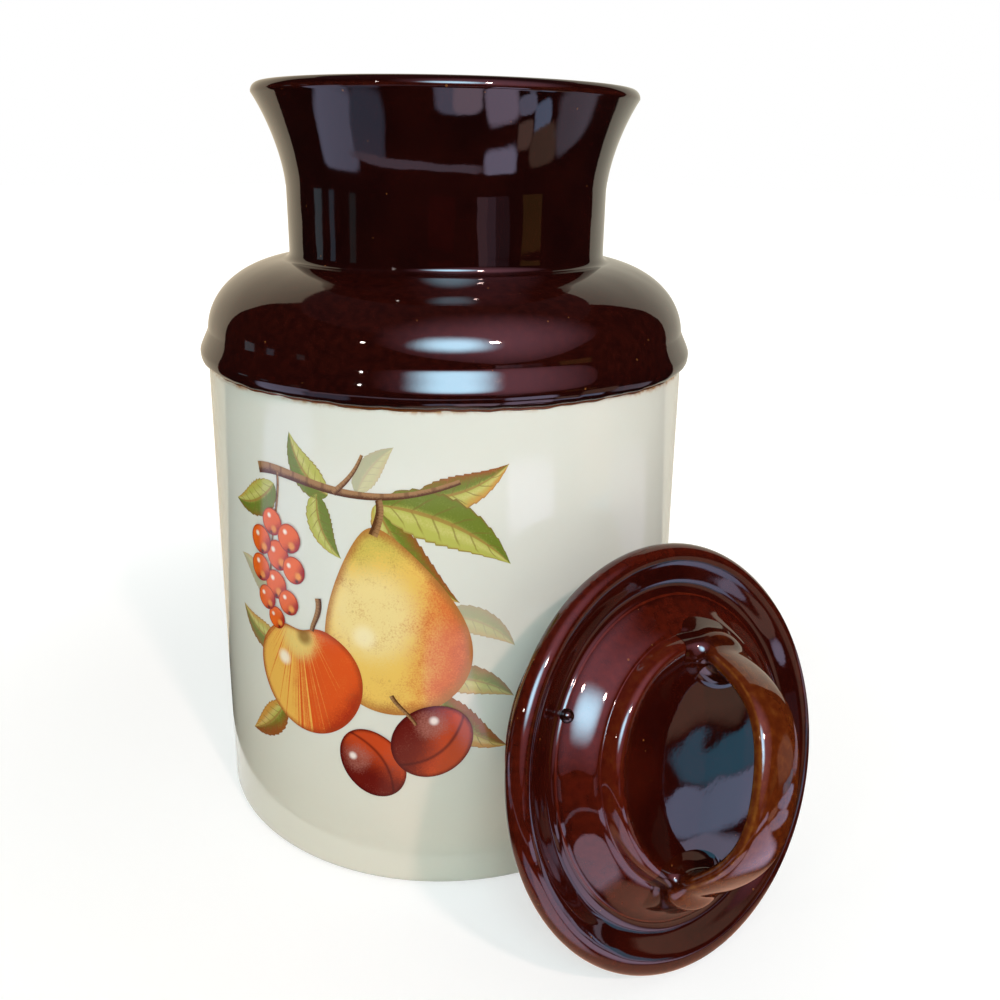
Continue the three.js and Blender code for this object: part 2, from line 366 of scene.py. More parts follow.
def cream_glaze():
    material, recipe, shader = new_finish("cream glaze")
    height = recipe.node("SeparateXYZ", Vector=recipe.place()).outputs["Z"]
    # Painted warm light: below this height the cream turns warmer towards the base, standing in for warm
    # light falling on the lower wall.
    low = recipe.ramp(height, WARM_LIGHT_HEIGHT, 0.0, 0.0, 0.8)
    patches = recipe.ramp(recipe.noise(22.0, 3.0), 0.4, 0.7, 0.0, 0.35)
    colour = recipe.mix(low, recipe.mix(patches, CREAM, CREAM_COOL), CREAM_WARM_LIGHT)
    flecks = recipe.placed(flecks_group, Scale=150.0, Size=0.07, Share=0.12).outputs["Mask"]
    colour = recipe.mix(recipe.math("MULTIPLY", flecks, 0.6), colour, CREAM_FLECK)
    feather = recipe.ramp(recipe.noise(420.0, 2.0), 0.3, 0.7, 0.6, 1.2)
    patchy = recipe.ramp(recipe.noise(34.0, 1.0), 0.35, 0.65, 0.3, 1.0)
    edge = recipe.math("MULTIPLY", recipe.math("MULTIPLY", recipe.mark("halo"), feather), patchy)
    colour = recipe.mix(recipe.ramp(edge, 0.15, 0.9), colour, CARAMEL)
    surface = recipe.placed(surface_group, **CREAM_SKIN)
    finished(recipe, shader, colour, surface, CREAM_RELIEF, wiped=True)
    shader.inputs["IOR"].default_value = CREAM_IOR
    return material


fringe_foot = glaze_line - FRINGE
wall_outline = (
    Outline(0, 0)
    .line((base_radius - FOOT_ROUND, 0), 14)
    .round((base_radius - FOOT_ROUND, FOOT_ROUND), FOOT_ROUND, FOOT_ROUND, -90, 0, 10)
    .line((wall_radius(fringe_foot), fringe_foot), 76)
    .line((wall_radius(glaze_line), glaze_line), 8)
).points
lip_height = clay_top - LIP_ROUND
lip_centre = RIM_RADIUS - LIP_ROUND
lip_inside = lip_centre - LIP_ROUND
flare_start = neck_top + FLARE_PULL * FLARE_HEIGHT
glazed_outline = (
    Outline(wall_radius(glaze_line), glaze_line)
    .line((WALL_TOP_RADIUS, bead_foot), 2)
    .bend((BEAD_RADIUS - BEAD_TUCK, bead_foot + BEAD_STEP),
          (BEAD_RADIUS, bead_foot + BEAD_FULLNESS * BEAD_CREST), (BEAD_RADIUS, bead_crest), 12)
    .bend((BEAD_RADIUS, bead_crest + BEAD_EASE), (SHOULDER_FOOT, bead_top - BEAD_EASE),
          (SHOULDER_FOOT, bead_top), 20)
    .bend((SHOULDER_FOOT - SHOULDER_LEAN * shoulder_run, bead_top + SHOULDER_SWELL * SHOULDER_HEIGHT),
          (SHOULDER_FOOT - SHOULDER_ROUND * shoulder_run, shoulder_top - SHOULDER_DIP * SHOULDER_HEIGHT),
          (shoulder_end, shoulder_top), 40)
    .bend((NECK_RADIUS + NECK_PULL * NECK_FILLET, shoulder_top),
          (NECK_RADIUS, neck_root - 2 * NECK_PULL * NECK_FILLET), (NECK_RADIUS, neck_root), 12)
    .line((NECK_RADIUS, neck_top), 12)
    .bend((NECK_RADIUS, flare_start), (lip_inside, clay_top - FLARE_PULL * FLARE_HEIGHT),
          (RIM_RADIUS, lip_height), 40)
    .round((lip_centre, lip_height), LIP_ROUND, LIP_ROUND, 0, 180, 20)
    .bend((lip_inside - MOUTH_PULL * (lip_inside - bore_radius), clay_top - MOUTH_PULL * FLARE_HEIGHT),
          (bore_radius, flare_start), (bore_radius, neck_top), 36)
).points
inside_foot = SHOULDER_FOOT - WALL
inside_top = shoulder_top - WALL
inside_shoulder = bead_top - WALL
floor_edge = base_radius - WALL - FLOOR_ROUND
inside_outline = (
    Outline(bore_radius, neck_top)
    .line((bore_radius, neck_root), 10)
    .bend((bore_radius, inside_top + INSIDE_FILLET), (shoulder_end - INSIDE_FILLET, inside_top),
          (shoulder_end, inside_top), 10)
    .bend((inside_foot - SHOULDER_ROUND * shoulder_run, inside_top - SHOULDER_DIP * SHOULDER_HEIGHT),
          (inside_foot, inside_shoulder + SHOULDER_SWELL * SHOULDER_HEIGHT),
          (inside_foot, inside_shoulder), 24)
    .line((base_radius - WALL, FLOOR + FLOOR_ROUND), 40)
    .round((floor_edge, FLOOR + FLOOR_ROUND), FLOOR_ROUND, FLOOR_ROUND, 0, -90, 12)
    .line((0, FLOOR), 16)
).points
covered = offset(glazed_outline, -UNDER_GLAZE)
jar_outline = np.vstack([wall_outline, covered[1:-1], inside_outline])
jar = turned("jar_body_cast", jar_outline, cream_glaze(), CAST_WOBBLE)
jar_heights = points_of(jar)[:, 2]
below_edge = np.minimum(jar_heights - glaze_line - EDGE_LIFT, 0)
paint(jar, "halo", np.exp(below_edge / HALO_REACH) * (jar_heights < bead_top))
paint(jar, "bare", np.clip(WIPED_START - jar_heights / WIPED_HEIGHT, 0, 1))
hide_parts("jar_body")
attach(jar, "jar")


# Brown dip glaze: the fired jar was turned over and dipped past its bead, so the coat covers bead,
# shoulder, neck and mouth. It stops in a slightly raised, ragged edge, and runs thin and amber
# over the lip and the other sharp turns.
COAT = 0.0005
EDGE_RUN = 0.0009
EDGE_WAVER = 0.00045
EDGE_REACH = 0.0035
OUTSIDE_RADIUS = 0.07
BAND_THINNESS = (0.20, 0.30, 0.30, 0.0)
SHOULDER_THICK = (0.0080, 0.0012, 0.0011, 1)
SHOULDER_MIDDLE = (0.032, 0.0042, 0.0024, 1)
SHOULDER_THIN = (0.15, 0.040, 0.010, 1)
BROWN_SPECK = (0.30, 0.12, 0.03, 1)
BROWN_CLOUD = 0.35
BROWN_RELIEF = 0.0005
BROWN_IOR = 1.53


def sharp_turns(piece, soft, sharp, spread):
    """How tight the outward turns are, where glaze flows thin: 0 at soft, 1 at sharp, both in 1/m."""
    mesh = piece.data
    points = points_of(piece)
    normals = np.zeros(len(points) * 3, np.float32)
    mesh.vertices.foreach_get("normal", normals)
    normals = normals.reshape(-1, 3).astype(float)
    ends = np.zeros(len(mesh.edges) * 2, np.int32)
    mesh.edges.foreach_get("vertices", ends)
    a, b = ends.reshape(-1, 2).T
    along = points[b] - points[a]
    bend = ((normals[b] - normals[a]) * along).sum(1) / np.maximum((along ** 2).sum(1), 1e-12)
    most = np.zeros(len(points))
    np.maximum.at(most, a, bend)
    np.maximum.at(most, b, bend)
    count = np.bincount(a, minlength=len(points)) + np.bincount(b, minlength=len(points))
    for _ in range(spread):
        total = np.bincount(a, most[b], len(points)) + np.bincount(b, most[a], len(points))
        most = 0.5 * most + 0.5 * total / np.maximum(count, 1)
    return np.clip((most - soft) / (sharp - soft), 0, 1)


def breaking_glaze():
    """Colour of a dark glaze that turns amber where it is thin, with cloudy patches."""
    group, recipe, given, gives = effect(
        "Breaking glaze",
        {"Break": 0.0, "Thick": (0.03, 0.004, 0.003, 1), "Middle": (0.08, 0.012, 0.006, 1),
         "Thin": (0.25, 0.08, 0.015, 1), "Cloud": 0.4},
        {"Colour": COLOUR},
    )
    clouds = recipe.math("MULTIPLY", recipe.ramp(recipe.noise(38.0, 4.0), 0.35, 0.75), given["Cloud"])
    mottle = recipe.math("SUBTRACT", recipe.noise(420.0, 3.0), 0.5)
    ragged = recipe.math("MULTIPLY_ADD", mottle, 0.5, given["Break"])
    warm = recipe.math("MAXIMUM", clouds, recipe.ramp(ragged, 0.05, 0.6))
    colour = recipe.mix(warm, given["Thick"], given["Middle"])
    recipe.join(recipe.mix(recipe.ramp(ragged, 0.45, 1.0), colour, given["Thin"]), gives["Colour"])
    return group


breaking_group = breaking_glaze()


def brown_glaze(name, thick, middle, thin, cloud, wiped=False):
    material, recipe, shader = new_finish(name)
    glaze = recipe.placed(breaking_group, Break=recipe.mark("break"),
                          Thick=thick, Middle=middle, Thin=thin, Cloud=cloud)
    flecks = recipe.placed(flecks_group, Scale=420.0, Size=0.16, Share=0.06).outputs["Mask"]
    colour = recipe.mix(recipe.math("MULTIPLY", flecks, 0.45), glaze.outputs["Colour"], BROWN_SPECK)
    surface = recipe.placed(surface_group, Ripple=0.8, Gloss=0.035, Haze=0.05)
    finished(recipe, shader, colour, surface, BROWN_RELIEF, wiped)
    shader.inputs["IOR"].default_value = BROWN_IOR
    return material


def edge_waver(angle):
    """The hand-dipped edge rises and falls a little round the jar."""
    return EDGE_WAVER * (
        0.5 * np.sin(3 * angle + 0.4) + 0.35 * np.sin(11 * angle + 1.9)
        + 0.3 * np.sin(29 * angle + 0.8) + 0.3 * np.sin(61 * angle + 2.6)
    )


coat = offset(glazed_outline, COAT)
edge_radius, edge_height = glazed_outline[0]
rounded_edge = np.array([
    (edge_radius - UNDER_GLAZE, edge_height),
    (edge_radius + 0.35 * COAT, edge_height + 0.05 * EDGE_RUN),
    (edge_radius + 0.8 * COAT, edge_height + 0.3 * EDGE_RUN),
    (edge_radius + 1.05 * COAT, edge_height + 0.7 * EDGE_RUN),
])
coat_outline = np.vstack([rounded_edge, coat[2:], glazed_outline[::-1][:-1], rounded_edge[:1]])
shoulder_brown = brown_glaze("shoulder glaze", SHOULDER_THICK, SHOULDER_MIDDLE, SHOULDER_THIN, BROWN_CLOUD)
shoulder = turned("shoulder_glaze_coat", coat_outline, shoulder_brown, CAST_WOBBLE)
shoulder_points = points_of(shoulder)
turn = np.arctan2(shoulder_points[:, 0], -shoulder_points[:, 1])
near_edge = np.clip(1 - (shoulder_points[:, 2] - glaze_line) / EDGE_REACH, 0, 1)
outside = np.hypot(*shoulder_points[:, :2].T) > OUTSIDE_RADIUS
shoulder_points[:, 2] += near_edge * (EDGE_LIFT + edge_waver(turn)) * outside
shoulder.data.vertices.foreach_set("co", shoulder_points.astype(np.float32).ravel())
shoulder.data.update()
band_heights = (glaze_line, bead_top, shoulder_top, neck_root)
thin_band = np.interp(shoulder_points[:, 2], band_heights, BAND_THINNESS)
paint(shoulder, "break", np.maximum(thin_band, sharp_turns(shoulder, soft=330, sharp=900, spread=2)))
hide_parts("shoulder_glaze")
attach(shoulder, "jar")


# Fruit transfer: a spray of autumn fruit printed in inks, laid on the glazed jar and fired under a last
# thin gloss. Each motif is a skin of ink that follows the wall, and the motifs in front lie a few
# hundredths of a millimetre above the ones behind.
PRINT_TURN = math.radians(-55.7)
PRINT_HEIGHT = 0.094
INK_LAYER = 0.00003
MILLIMETRE = 0.001
MOTIF_RINGS = 22
CLEAN = None


def on_wall(flat, layer):
    """Points of the flat artwork, in mm from its middle, laid on the jar's wall."""
    angle = PRINT_TURN + flat[:, 0] * MILLIMETRE / base_radius
    height = PRINT_HEIGHT + flat[:, 1] * MILLIMETRE
    radius = wall_radius(height) - casting_wobble(angle, height, CAST_WOBBLE) + layer * INK_LAYER
    return np.column_stack([radius * np.sin(angle), -radius * np.cos(angle), height])


def rounded_motif(outline, middle, size, lean, layer):
    """A filled outline: rings of points from its middle to its rim, marked with place and edge."""
    spokes = len(outline)
    share = np.linspace(0, 1, MOTIF_RINGS + 1)[1:]
    local = np.vstack([[(0, 0)], (share[:, None, None] * outline[None]).reshape(-1, 2)])
    c, d = math.cos(math.radians(lean)), math.sin(math.radians(lean))
    flat = np.array(middle) + size * local @ np.array([(c, d), (-d, c)])
    faces = [(0, 1 + i, 1 + (i + 1) % spokes) for i in range(spokes)]
    for k in range(MOTIF_RINGS - 1):
        low = 1 + k * spokes
        for i in range(spokes):
            j = (i + 1) % spokes
            faces.append((low + i, low + spokes + i, low + spokes + j, low + j))
    rim = np.concatenate([[0], np.repeat(share, spokes)])
    return on_wall(flat, layer), faces, {"across": local[:, 0], "up": local[:, 1], "edge": rim}


def ribbon_motif(spine, half_width, layer, steps_across):
    """A strip of points along a flat spine, marked with its place along and across."""
    along_spine = np.gradient(spine, axis=0)
    along_spine /= np.linalg.norm(along_spine, axis=1)[:, None]
    side = np.column_stack([-along_spine[:, 1], along_spine[:, 0]])
    share = np.linspace(-1, 1, steps_across + 1)
    flat = spine[:, None] + side[:, None] * (half_width[:, None] * share)[..., None]
    rows, columns = flat.shape[:2]
    faces = []
    for i in range(rows - 1):
        for j in range(columns - 1):
            k = i * columns + j
            faces.append((k + 1, k + columns + 1, k + columns, k))
    marks = {"along": np.repeat(np.linspace(0, 1, rows), columns), "across": np.tile(share, rows)}
    return on_wall(flat.reshape(-1, 2), layer), faces, marks


def printed_tone():
    """Two inks printed over each other, the second coming in as a fine stipple."""
    group, recipe, given, gives = effect(
        "Printed tone",
        {"First": (0.8, 0.5, 0.1, 1), "Second": (0.6, 0.1, 0.03, 1), "Amount": 0.0, "Grain": 0.4},
        {"Colour": COLOUR},
    )
    strokes = recipe.math("ADD", recipe.noise(1900.0, 2.0), recipe.noise(150.0, 4.0))
    grain = recipe.math("SUBTRACT", strokes, 1.0)
    broken = recipe.math("MULTIPLY_ADD", grain, given["Grain"], given["Amount"])
    recipe.join(recipe.mix(recipe.ramp(broken, 0.0, 1.0), given["First"], given["Second"]), gives["Colour"])
    return group


def printed_glint():
    """A round spot of light or shade in the artwork, as a mask that fades towards its rim."""
    group, recipe, given, gives = effect(
        "Printed glint", {"Across": 0.0, "Up": 0.0, "Left": 0.0, "Rise": 0.0, "Size": 0.3}, {"Mask": NUMBER})
    x = recipe.math("SUBTRACT", given["Across"], given["Left"])
    y = recipe.math("SUBTRACT", given["Up"], given["Rise"])
    squared = recipe.math("MULTIPLY_ADD", y, y, recipe.math("MULTIPLY", x, x))
    away = recipe.math("DIVIDE", recipe.math("SQRT", squared), given["Size"])
    recipe.join(recipe.ramp(away, 1.0, 0.25), gives["Mask"])
    return group


tone_group = printed_tone()
glint_group = printed_glint()


def toned(recipe, first, second, amount, grain):
    made = recipe.placed(tone_group, First=first, Second=second, Amount=amount, Grain=grain)
    return made.outputs["Colour"]


def spot(recipe, left, rise, size, strength=1.0):
    made = recipe.placed(glint_group, Across=recipe.mark("across"), Up=recipe.mark("up"),
                         Left=left, Rise=rise, Size=size)
    return recipe.math("MULTIPLY", made.outputs["Mask"], strength)


def print_material(name, inks):
    """A fired print with the gloss of the cream round it. Each row of its inks lays one over the last."""
    material, recipe, shader = new_finish(name)
    colour, rows = inks(recipe)
    for ink, amount, grain in rows:
        if grain is CLEAN:
            colour = recipe.mix(amount, colour, ink)
        else:
            colour = toned(recipe, colour, ink, amount, grain)
    finished(recipe, shader, colour, recipe.placed(surface_group, **CREAM_SKIN), CREAM_RELIEF)
    shader.inputs["IOR"].default_value = CREAM_IOR
    return material


def printed_piece(name, motifs, material):
    points, faces, marks = [], [], {}
    for motif_points, motif_faces, motif_marks in motifs:
        first = len(points)
        points.extend(motif_points)
        faces.extend([tuple(first + k for k in face) for face in motif_faces])
        for key, values in motif_marks.items():
            marks.setdefault(key, []).append(np.broadcast_to(values, len(motif_points)))
    made = mesh_object(name, points, faces, material)
    for key, values in marks.items():
        paint(made, key, np.concatenate(values))
    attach(made, "jar")


LEAF_LIGHT = (0.47, 0.47, 0.10, 1)
LEAF_DARK = (0.155, 0.205, 0.025, 1)
LEAF_RUST = (0.62, 0.30, 0.06, 1)
LEAF_BROWN = (0.30, 0.085, 0.02, 1)
LEAF_SUNLIT = (0.72, 0.66, 0.27, 1)
LEAF_VEIN = (0.20, 0.14, 0.03, 1)
LEAF_RIB = (0.36, 0.20, 0.05, 1)
LEAF_RIM = (0.26, 0.11, 0.03, 1)
LEAF_PALE = (0.64, 0.60, 0.47, 1)
LEAF_TEETH = 11
LEAF_TIP_WIDTH = 0.05


def leaf_inks(recipe):
    along, across = recipe.mark("along"), recipe.mark("across")
    from_rib = recipe.math("ABSOLUTE", across)
    upper = recipe.ramp(across, -0.25, 0.35)
    rust = toned(recipe, LEAF_RUST, LEAF_BROWN, upper, 0.9)
    tip = recipe.math("SUBTRACT", recipe.math("MULTIPLY_ADD", along, 0.55, from_rib), 1.35)
    tip = recipe.math("MULTIPLY_ADD", recipe.mark("autumn"), 1.6, tip)
    sunlit = recipe.math("MULTIPLY", recipe.ramp(from_rib, 0.75, 0.2), recipe.ramp(across, 0.1, -0.5))
    slant = recipe.math("MULTIPLY_ADD", from_rib, -1.1, recipe.math("MULTIPLY", along, 7.0))
    from_vein = recipe.math("ABSOLUTE", recipe.math("SUBTRACT", recipe.math("FRACT", slant), 0.5))
    vein = recipe.math("MULTIPLY", recipe.ramp(from_vein, 0.09, 0.03), recipe.ramp(from_rib, 0.95, 0.5))
    return LEAF_LIGHT, (
        (LEAF_DARK, upper, 0.7),
        (rust, tip, 0.8),
        (LEAF_SUNLIT, recipe.math("MULTIPLY", sunlit, 0.55), 0.6),
        (LEAF_VEIN, recipe.math("MULTIPLY", vein, 0.6), CLEAN),
        (LEAF_RIB, recipe.math("MULTIPLY", recipe.ramp(from_rib, 0.10, 0.05), 0.8), CLEAN),
        (LEAF_RIM, recipe.ramp(from_rib, 0.86, 1.0, 0.0, 0.6), CLEAN),
        (LEAF_PALE, recipe.mark("pale"), CLEAN),
    )


def leaf(root, tip, bend, half_width, autumn, pale, layer):
    """A toothed leaf: the bend swings its rib sideways, in mm."""
    root, tip = np.array(root, float), np.array(tip, float)
    run = tip - root
    swing = np.array((-run[1], run[0])) / np.hypot(*run) * bend
    spine = Outline(*root).bend(root + run / 3 + swing, root + run * 2 / 3 + swing, tip, 72).points
    u = np.linspace(0, 1, len(spine))
    body = 1.93 * u ** 0.62 * (1 - u) ** 1.05
    teeth = 1 - 0.10 * ((u * LEAF_TEETH) % 1.0)
    widths = np.maximum(half_width * body * teeth, LEAF_TIP_WIDTH)
    points, faces, marks = ribbon_motif(spine, widths, layer, 12)
    return points, faces, {**marks, "autumn": autumn, "pale": pale}


LEAVES = (
    ((2, 46), (14, 61), 2, 6.5, 0.35, 0.62, 1), ((28, 8), (52, -4), 4, 7.5, 0.55, 0.60, 1),
    ((-34, 2), (-51, 15), -3, 7.0, 0.5, 0.62, 1), ((24, -14), (52, -22), 4, 8.5, 0.55, 0.28, 1),
    ((26, -20), (50, -40), -4, 10.0, 0.80, 0.05, 2), ((-30, -12), (-52, -4), 4, 8.5, 0.55, 0.10, 2),
    ((-30, -34), (-50, -52), 3, 9.0, 0.85, 0.0, 2), ((-8, 44), (-22, 62), 4, 8.5, 0.10, 0.0, 3),
    ((20, 46), (49, 56), -4, 9.0, 0.55, 0.0, 3), ((-30, 44), (-52, 34), 4, 9.5, 0.35, 0.0, 3),
    ((-12, 44), (-4, 24), -4, 7.5, 0.20, 0.0, 3), ((9, 43), (50, 24), 6, 13.0, 0.08, 0.0, 4),
    ((8, 43), (34, 12), -4, 9.5, 0.60, 0.0, 3),
)
leaves = [leaf(*values) for values in LEAVES]
printed_piece("transfer_leaves", leaves, print_material("printed leaves", leaf_inks))

TWIG_LIGHT = (0.36, 0.19, 0.08, 1)
TWIG_DARK = (0.10, 0.035, 0.012, 1)
TWIG_KNOT = (0.09, 0.03, 0.01, 1)


def twig_inks(recipe):
    knots = recipe.math("SINE", recipe.math("MULTIPLY", recipe.mark("along"), 70.0))
    return TWIG_LIGHT, (
        (TWIG_DARK, recipe.ramp(recipe.mark("across"), 0.5, -0.9), 0.8),
        (TWIG_KNOT, recipe.ramp(knots, 0.7, 1.0, 0.0, 0.45), CLEAN),
    )


def twig(points, thick, thin, layer):
    root, leaving, arriving, tip = points
    spine = Outline(*root).bend(leaving, arriving, tip, 60).points
    return ribbon_motif(spine, np.linspace(thick, thin, len(spine)), layer, 6)


TWIGS = (
    (((-37, 48), (-20, 52), (0, 38), (34, 51)), 1.9, 0.8, 5),
    (((-6, 45), (-2, 49), (1, 51), (4, 58)), 1.0, 0.5, 5),
    (((9, 44.5), (10, 41), (9, 38), (7, 33)), 1.1, 1.5, 7),
    (((-28, 48), (-27, 36), (-36, 22), (-33, 0)), 0.55, 0.35, 5),
    (((-16, -3), (-15, 1), (-12, 4), (-13, 9)), 0.8, 1.2, 11),
    (((20, -31), (18, -27), (14, -25), (12, -21)), 0.55, 0.8, 11),
)
twigs = [twig(*values) for values in TWIGS]
printed_piece("transfer_twigs", twigs, print_material("printed twig", twig_inks))

round_turn = np.linspace(0, 2 * np.pi, 120, endpoint=False)
round_across = np.cos(round_turn)
round_up = np.sin(round_turn)

PEAR_GOLD = (0.82, 0.53, 0.12, 1)
PEAR_STRAW = (0.86, 0.68, 0.30, 1)
PEAR_GREEN = (0.50, 0.46, 0.09, 1)
PEAR_BLUSH = (0.72, 0.17, 0.04, 1)
PEAR_RED = (0.42, 0.06, 0.015, 1)
PEAR_RIM = (0.44, 0.17, 0.04, 1)
PEAR_FRECKLE = (0.40, 0.18, 0.04, 1)
PEAR_GLINT = (0.95, 0.86, 0.62, 1)


def pear_inks(recipe):
    up = recipe.mark("up")
    blush = recipe.math("MULTIPLY_ADD", up, -0.25, recipe.mark("across"))
    freckles = recipe.placed(flecks_group, Scale=420.0, Size=0.20, Share=0.25).outputs["Mask"]
    return PEAR_GOLD, (
        (PEAR_STRAW, spot(recipe, -0.18, 0.10, 0.75), 0.5),
        (PEAR_GREEN, recipe.ramp(up, 0.3, 1.05, 0.0, 0.8), 0.7),
        (PEAR_BLUSH, recipe.ramp(blush, -0.05, 0.75), 0.85),
        (PEAR_RED, recipe.ramp(blush, 0.50, 1.0, 0.0, 0.75), 0.8),
        (PEAR_RIM, recipe.ramp(recipe.mark("edge"), 0.80, 1.02, 0.0, 0.85), 0.5),
        (PEAR_FRECKLE, recipe.math("MULTIPLY", freckles, 0.25), CLEAN),
        (PEAR_GLINT, spot(recipe, -0.30, -0.12, 0.17, 0.55), CLEAN),
    )


pear_across = round_across * (0.72 - 0.30 * round_up - 0.05 * round_up ** 2)
pear_outline = np.column_stack([pear_across, round_up])
pear = rounded_motif(pear_outline, (12, 4), 32, 10, 6)
printed_piece("transfer_pear", [pear], print_material("printed pear", pear_inks))

APPLE_GOLD = (0.83, 0.46, 0.09, 1)
APPLE_RED = (0.70, 0.09, 0.015, 1)
APPLE_STRAW = (0.80, 0.62, 0.20, 1)
APPLE_SHADE = (0.33, 0.02, 0.008, 1)
APPLE_RIM = (0.36, 0.05, 0.015, 1)
APPLE_HOLLOW = (0.22, 0.10, 0.02, 1)
APPLE_GLINT = (0.97, 0.90, 0.76, 1)


def apple_inks(recipe):
    across, up = recipe.mark("across"), recipe.mark("up")
    bearing = recipe.math("ARCTAN2", across, recipe.math("SUBTRACT", 1.25, up))
    streaks = recipe.node("TexNoise", noise_dimensions="1D", W=bearing, Scale=34.0, Detail=3.0)
    streaked = recipe.math("MULTIPLY_ADD", across, 0.45, streaks.outputs["Fac"])
    return APPLE_GOLD, (
        (APPLE_RED, recipe.ramp(streaked, 0.22, 0.62), 0.5),
        (APPLE_STRAW, spot(recipe, -0.05, 0.66, 0.55, 0.75), 0.6),
        (APPLE_SHADE, recipe.ramp(recipe.math("SUBTRACT", across, up), 0.65, 1.35, 0.0, 0.8), 0.6),
        (APPLE_RIM, recipe.ramp(recipe.mark("edge"), 0.86, 1.02, 0.0, 0.8), 0.4),
        (APPLE_HOLLOW, spot(recipe, 0.06, 0.70, 0.20, 0.8), CLEAN),
        (APPLE_GLINT, spot(recipe, -0.42, 0.28, 0.17, 0.85), CLEAN),
    )


apple_dimple = 0.13 * np.exp(-((round_across / 0.26) ** 2)) * (round_up > 0)
apple_outline = np.column_stack([round_across * (1 + 0.07 * round_up), round_up * 0.93 - apple_dimple])
apple = rounded_motif(apple_outline, (-19, -21), 21.5, 6, 8)
printed_piece("transfer_apple", [apple], print_material("printed apple", apple_inks))

PLUM_RED = (0.54, 0.060, 0.012, 1)
PLUM_DARK = (0.13, 0.008, 0.005, 1)
PLUM_BLOOM = (0.46, 0.17, 0.13, 1)
PLUM_CREASE = (0.055, 0.003, 0.004, 1)
PLUM_RIM = (0.07, 0.004, 0.005, 1)
PLUM_GLINT = (0.95, 0.86, 0.82, 1)


def plum_inks(recipe):
    across, up = recipe.mark("across"), recipe.mark("up")
    side = recipe.math("MULTIPLY_ADD", up, 0.6, across)
    bowed = recipe.math("MULTIPLY_ADD", recipe.math("MULTIPLY", up, up), 0.35, across)
    from_crease = recipe.math("ABSOLUTE", recipe.math("SUBTRACT", bowed, 0.32))
    return PLUM_RED, (
        (PLUM_DARK, recipe.ramp(side, 0.75, -0.55), 0.5),
        (PLUM_BLOOM, spot(recipe, -0.28, 0.30, 0.60, 0.50), 0.7),
        (PLUM_CREASE, recipe.ramp(from_crease, 0.07, 0.0, 0.0, 0.7), CLEAN),
        (PLUM_RIM, recipe.ramp(recipe.mark("edge"), 0.84, 1.02, 0.0, 0.8), 0.3),
        (PLUM_GLINT, spot(recipe, -0.36, 0.40, 0.15, 0.85), CLEAN),
    )


plum_outline = np.column_stack([0.84 * round_across, round_up])
PLUMS = (((5, -47), 13.0, 35, 9), ((25, -37), 14.5, -48, 10))
plums = [rounded_motif(plum_outline, *values) for values in PLUMS]
printed_piece("transfer_plums", plums, print_material("printed plums", plum_inks))

CURRANT_RED = (0.80, 0.13, 0.012, 1)
CURRANT_DARK = (0.36, 0.015, 0.006, 1)
CURRANT_GLOW = (0.90, 0.36, 0.06, 1)
CURRANT_RIM = (0.25, 0.012, 0.006, 1)
CURRANT_TIP = (0.07, 0.02, 0.01, 1)
CURRANT_GLINT = (0.98, 0.88, 0.76, 1)


def currant_inks(recipe):
    side = recipe.math("SUBTRACT", recipe.mark("across"), recipe.mark("up"))
    return CURRANT_RED, (
        (CURRANT_DARK, recipe.ramp(side, -0.2, 1.3), 0.4),
        (CURRANT_GLOW, spot(recipe, 0.30, -0.45, 0.45, 0.7), 0.4),
        (CURRANT_RIM, recipe.ramp(recipe.mark("edge"), 0.82, 1.02, 0.0, 0.75), 0.2),
        (CURRANT_TIP, spot(recipe, 0.08, -0.80, 0.20, 0.9), CLEAN),
        (CURRANT_GLINT, spot(recipe, -0.34, 0.36, 0.26, 0.9), CLEAN),
    )


berry_outline = np.column_stack([round_across, round_up])[::3]
CURRANTS = (
    ((-31.5, 31), 4.6), ((-24, 27), 4.9), ((-37.5, 23.5), 5.0), ((-29.5, 20), 5.2), ((-22.5, 16.5), 4.7),
    ((-38.5, 13.5), 4.8), ((-31, 9.5), 5.0), ((-25.5, 4.5), 4.4), ((-36, 3.5), 4.3), ((-31.5, -2.5), 3.9),
)
currants = []
for number, (middle, size) in enumerate(CURRANTS):
    currants.append(rounded_motif(berry_outline, middle, size, 7 * (number % 5) - 14, 12 + number % 3))
printed_piece("transfer_currants", currants, print_material("printed currants", currant_inks))


# Lid: a second casting, stepped from a rounded brim through a channel and a swelling ring to a flat
# top, with a deep collar below that drops into the mouth. It is glazed brown all over except for
# the seat under the brim and the foot of the collar, which are wiped bare.
BRIM_RADIUS = 0.0652
BRIM_THICKNESS = 0.0078
EDGE_ROUND = 0.0038
CHANNEL_WIDTH = 0.0082
CHANNEL_FLOOR = 0.0046
CHANNEL_ROLL = 1.05
CHANNEL_SLOPE = 0.6
CHANNEL_LOW = 0.3
CHANNEL_TURN = 0.12
RING_FOOT_RADIUS = 0.0496
RING_FOOT_STEP = 0.0008
RING_FOOT_ROUND = 0.0006
RING_RADIUS = 0.0385
RING_RISE = 0.0117
RING_SWELL = 0.31
RING_SOFTNESS = 0.1
RING_CAP = 0.28
TOP_RADIUS = 0.0345
TOP_RISE = 0.0165
TOP_STEP = (0.0009, 0.0018)
TOP_ROUND = 0.0026
COLLAR_DEPTH = 0.021
COLLAR_RADIUS = 0.0483
COLLAR_WALL = 0.005
COLLAR_ROUND = 0.002
COLLAR_PULL = 0.0007
LID_WALL = 0.0055
ROOF_PULL = (0.003, 0.002)
ROOF_DROP = 0.005
SEAT_MARGIN = 0.001
SEAT_SKIN = 0.0006
WIPED_FOOT = 0.4
TOP_SKIN = 0.002
LID_BREAK = 0.5
LID_THICK = (0.020, 0.0020, 0.0012, 1)
LID_MIDDLE = (0.078, 0.0078, 0.0030, 1)
LID_THIN = (0.13, 0.032, 0.005, 1)
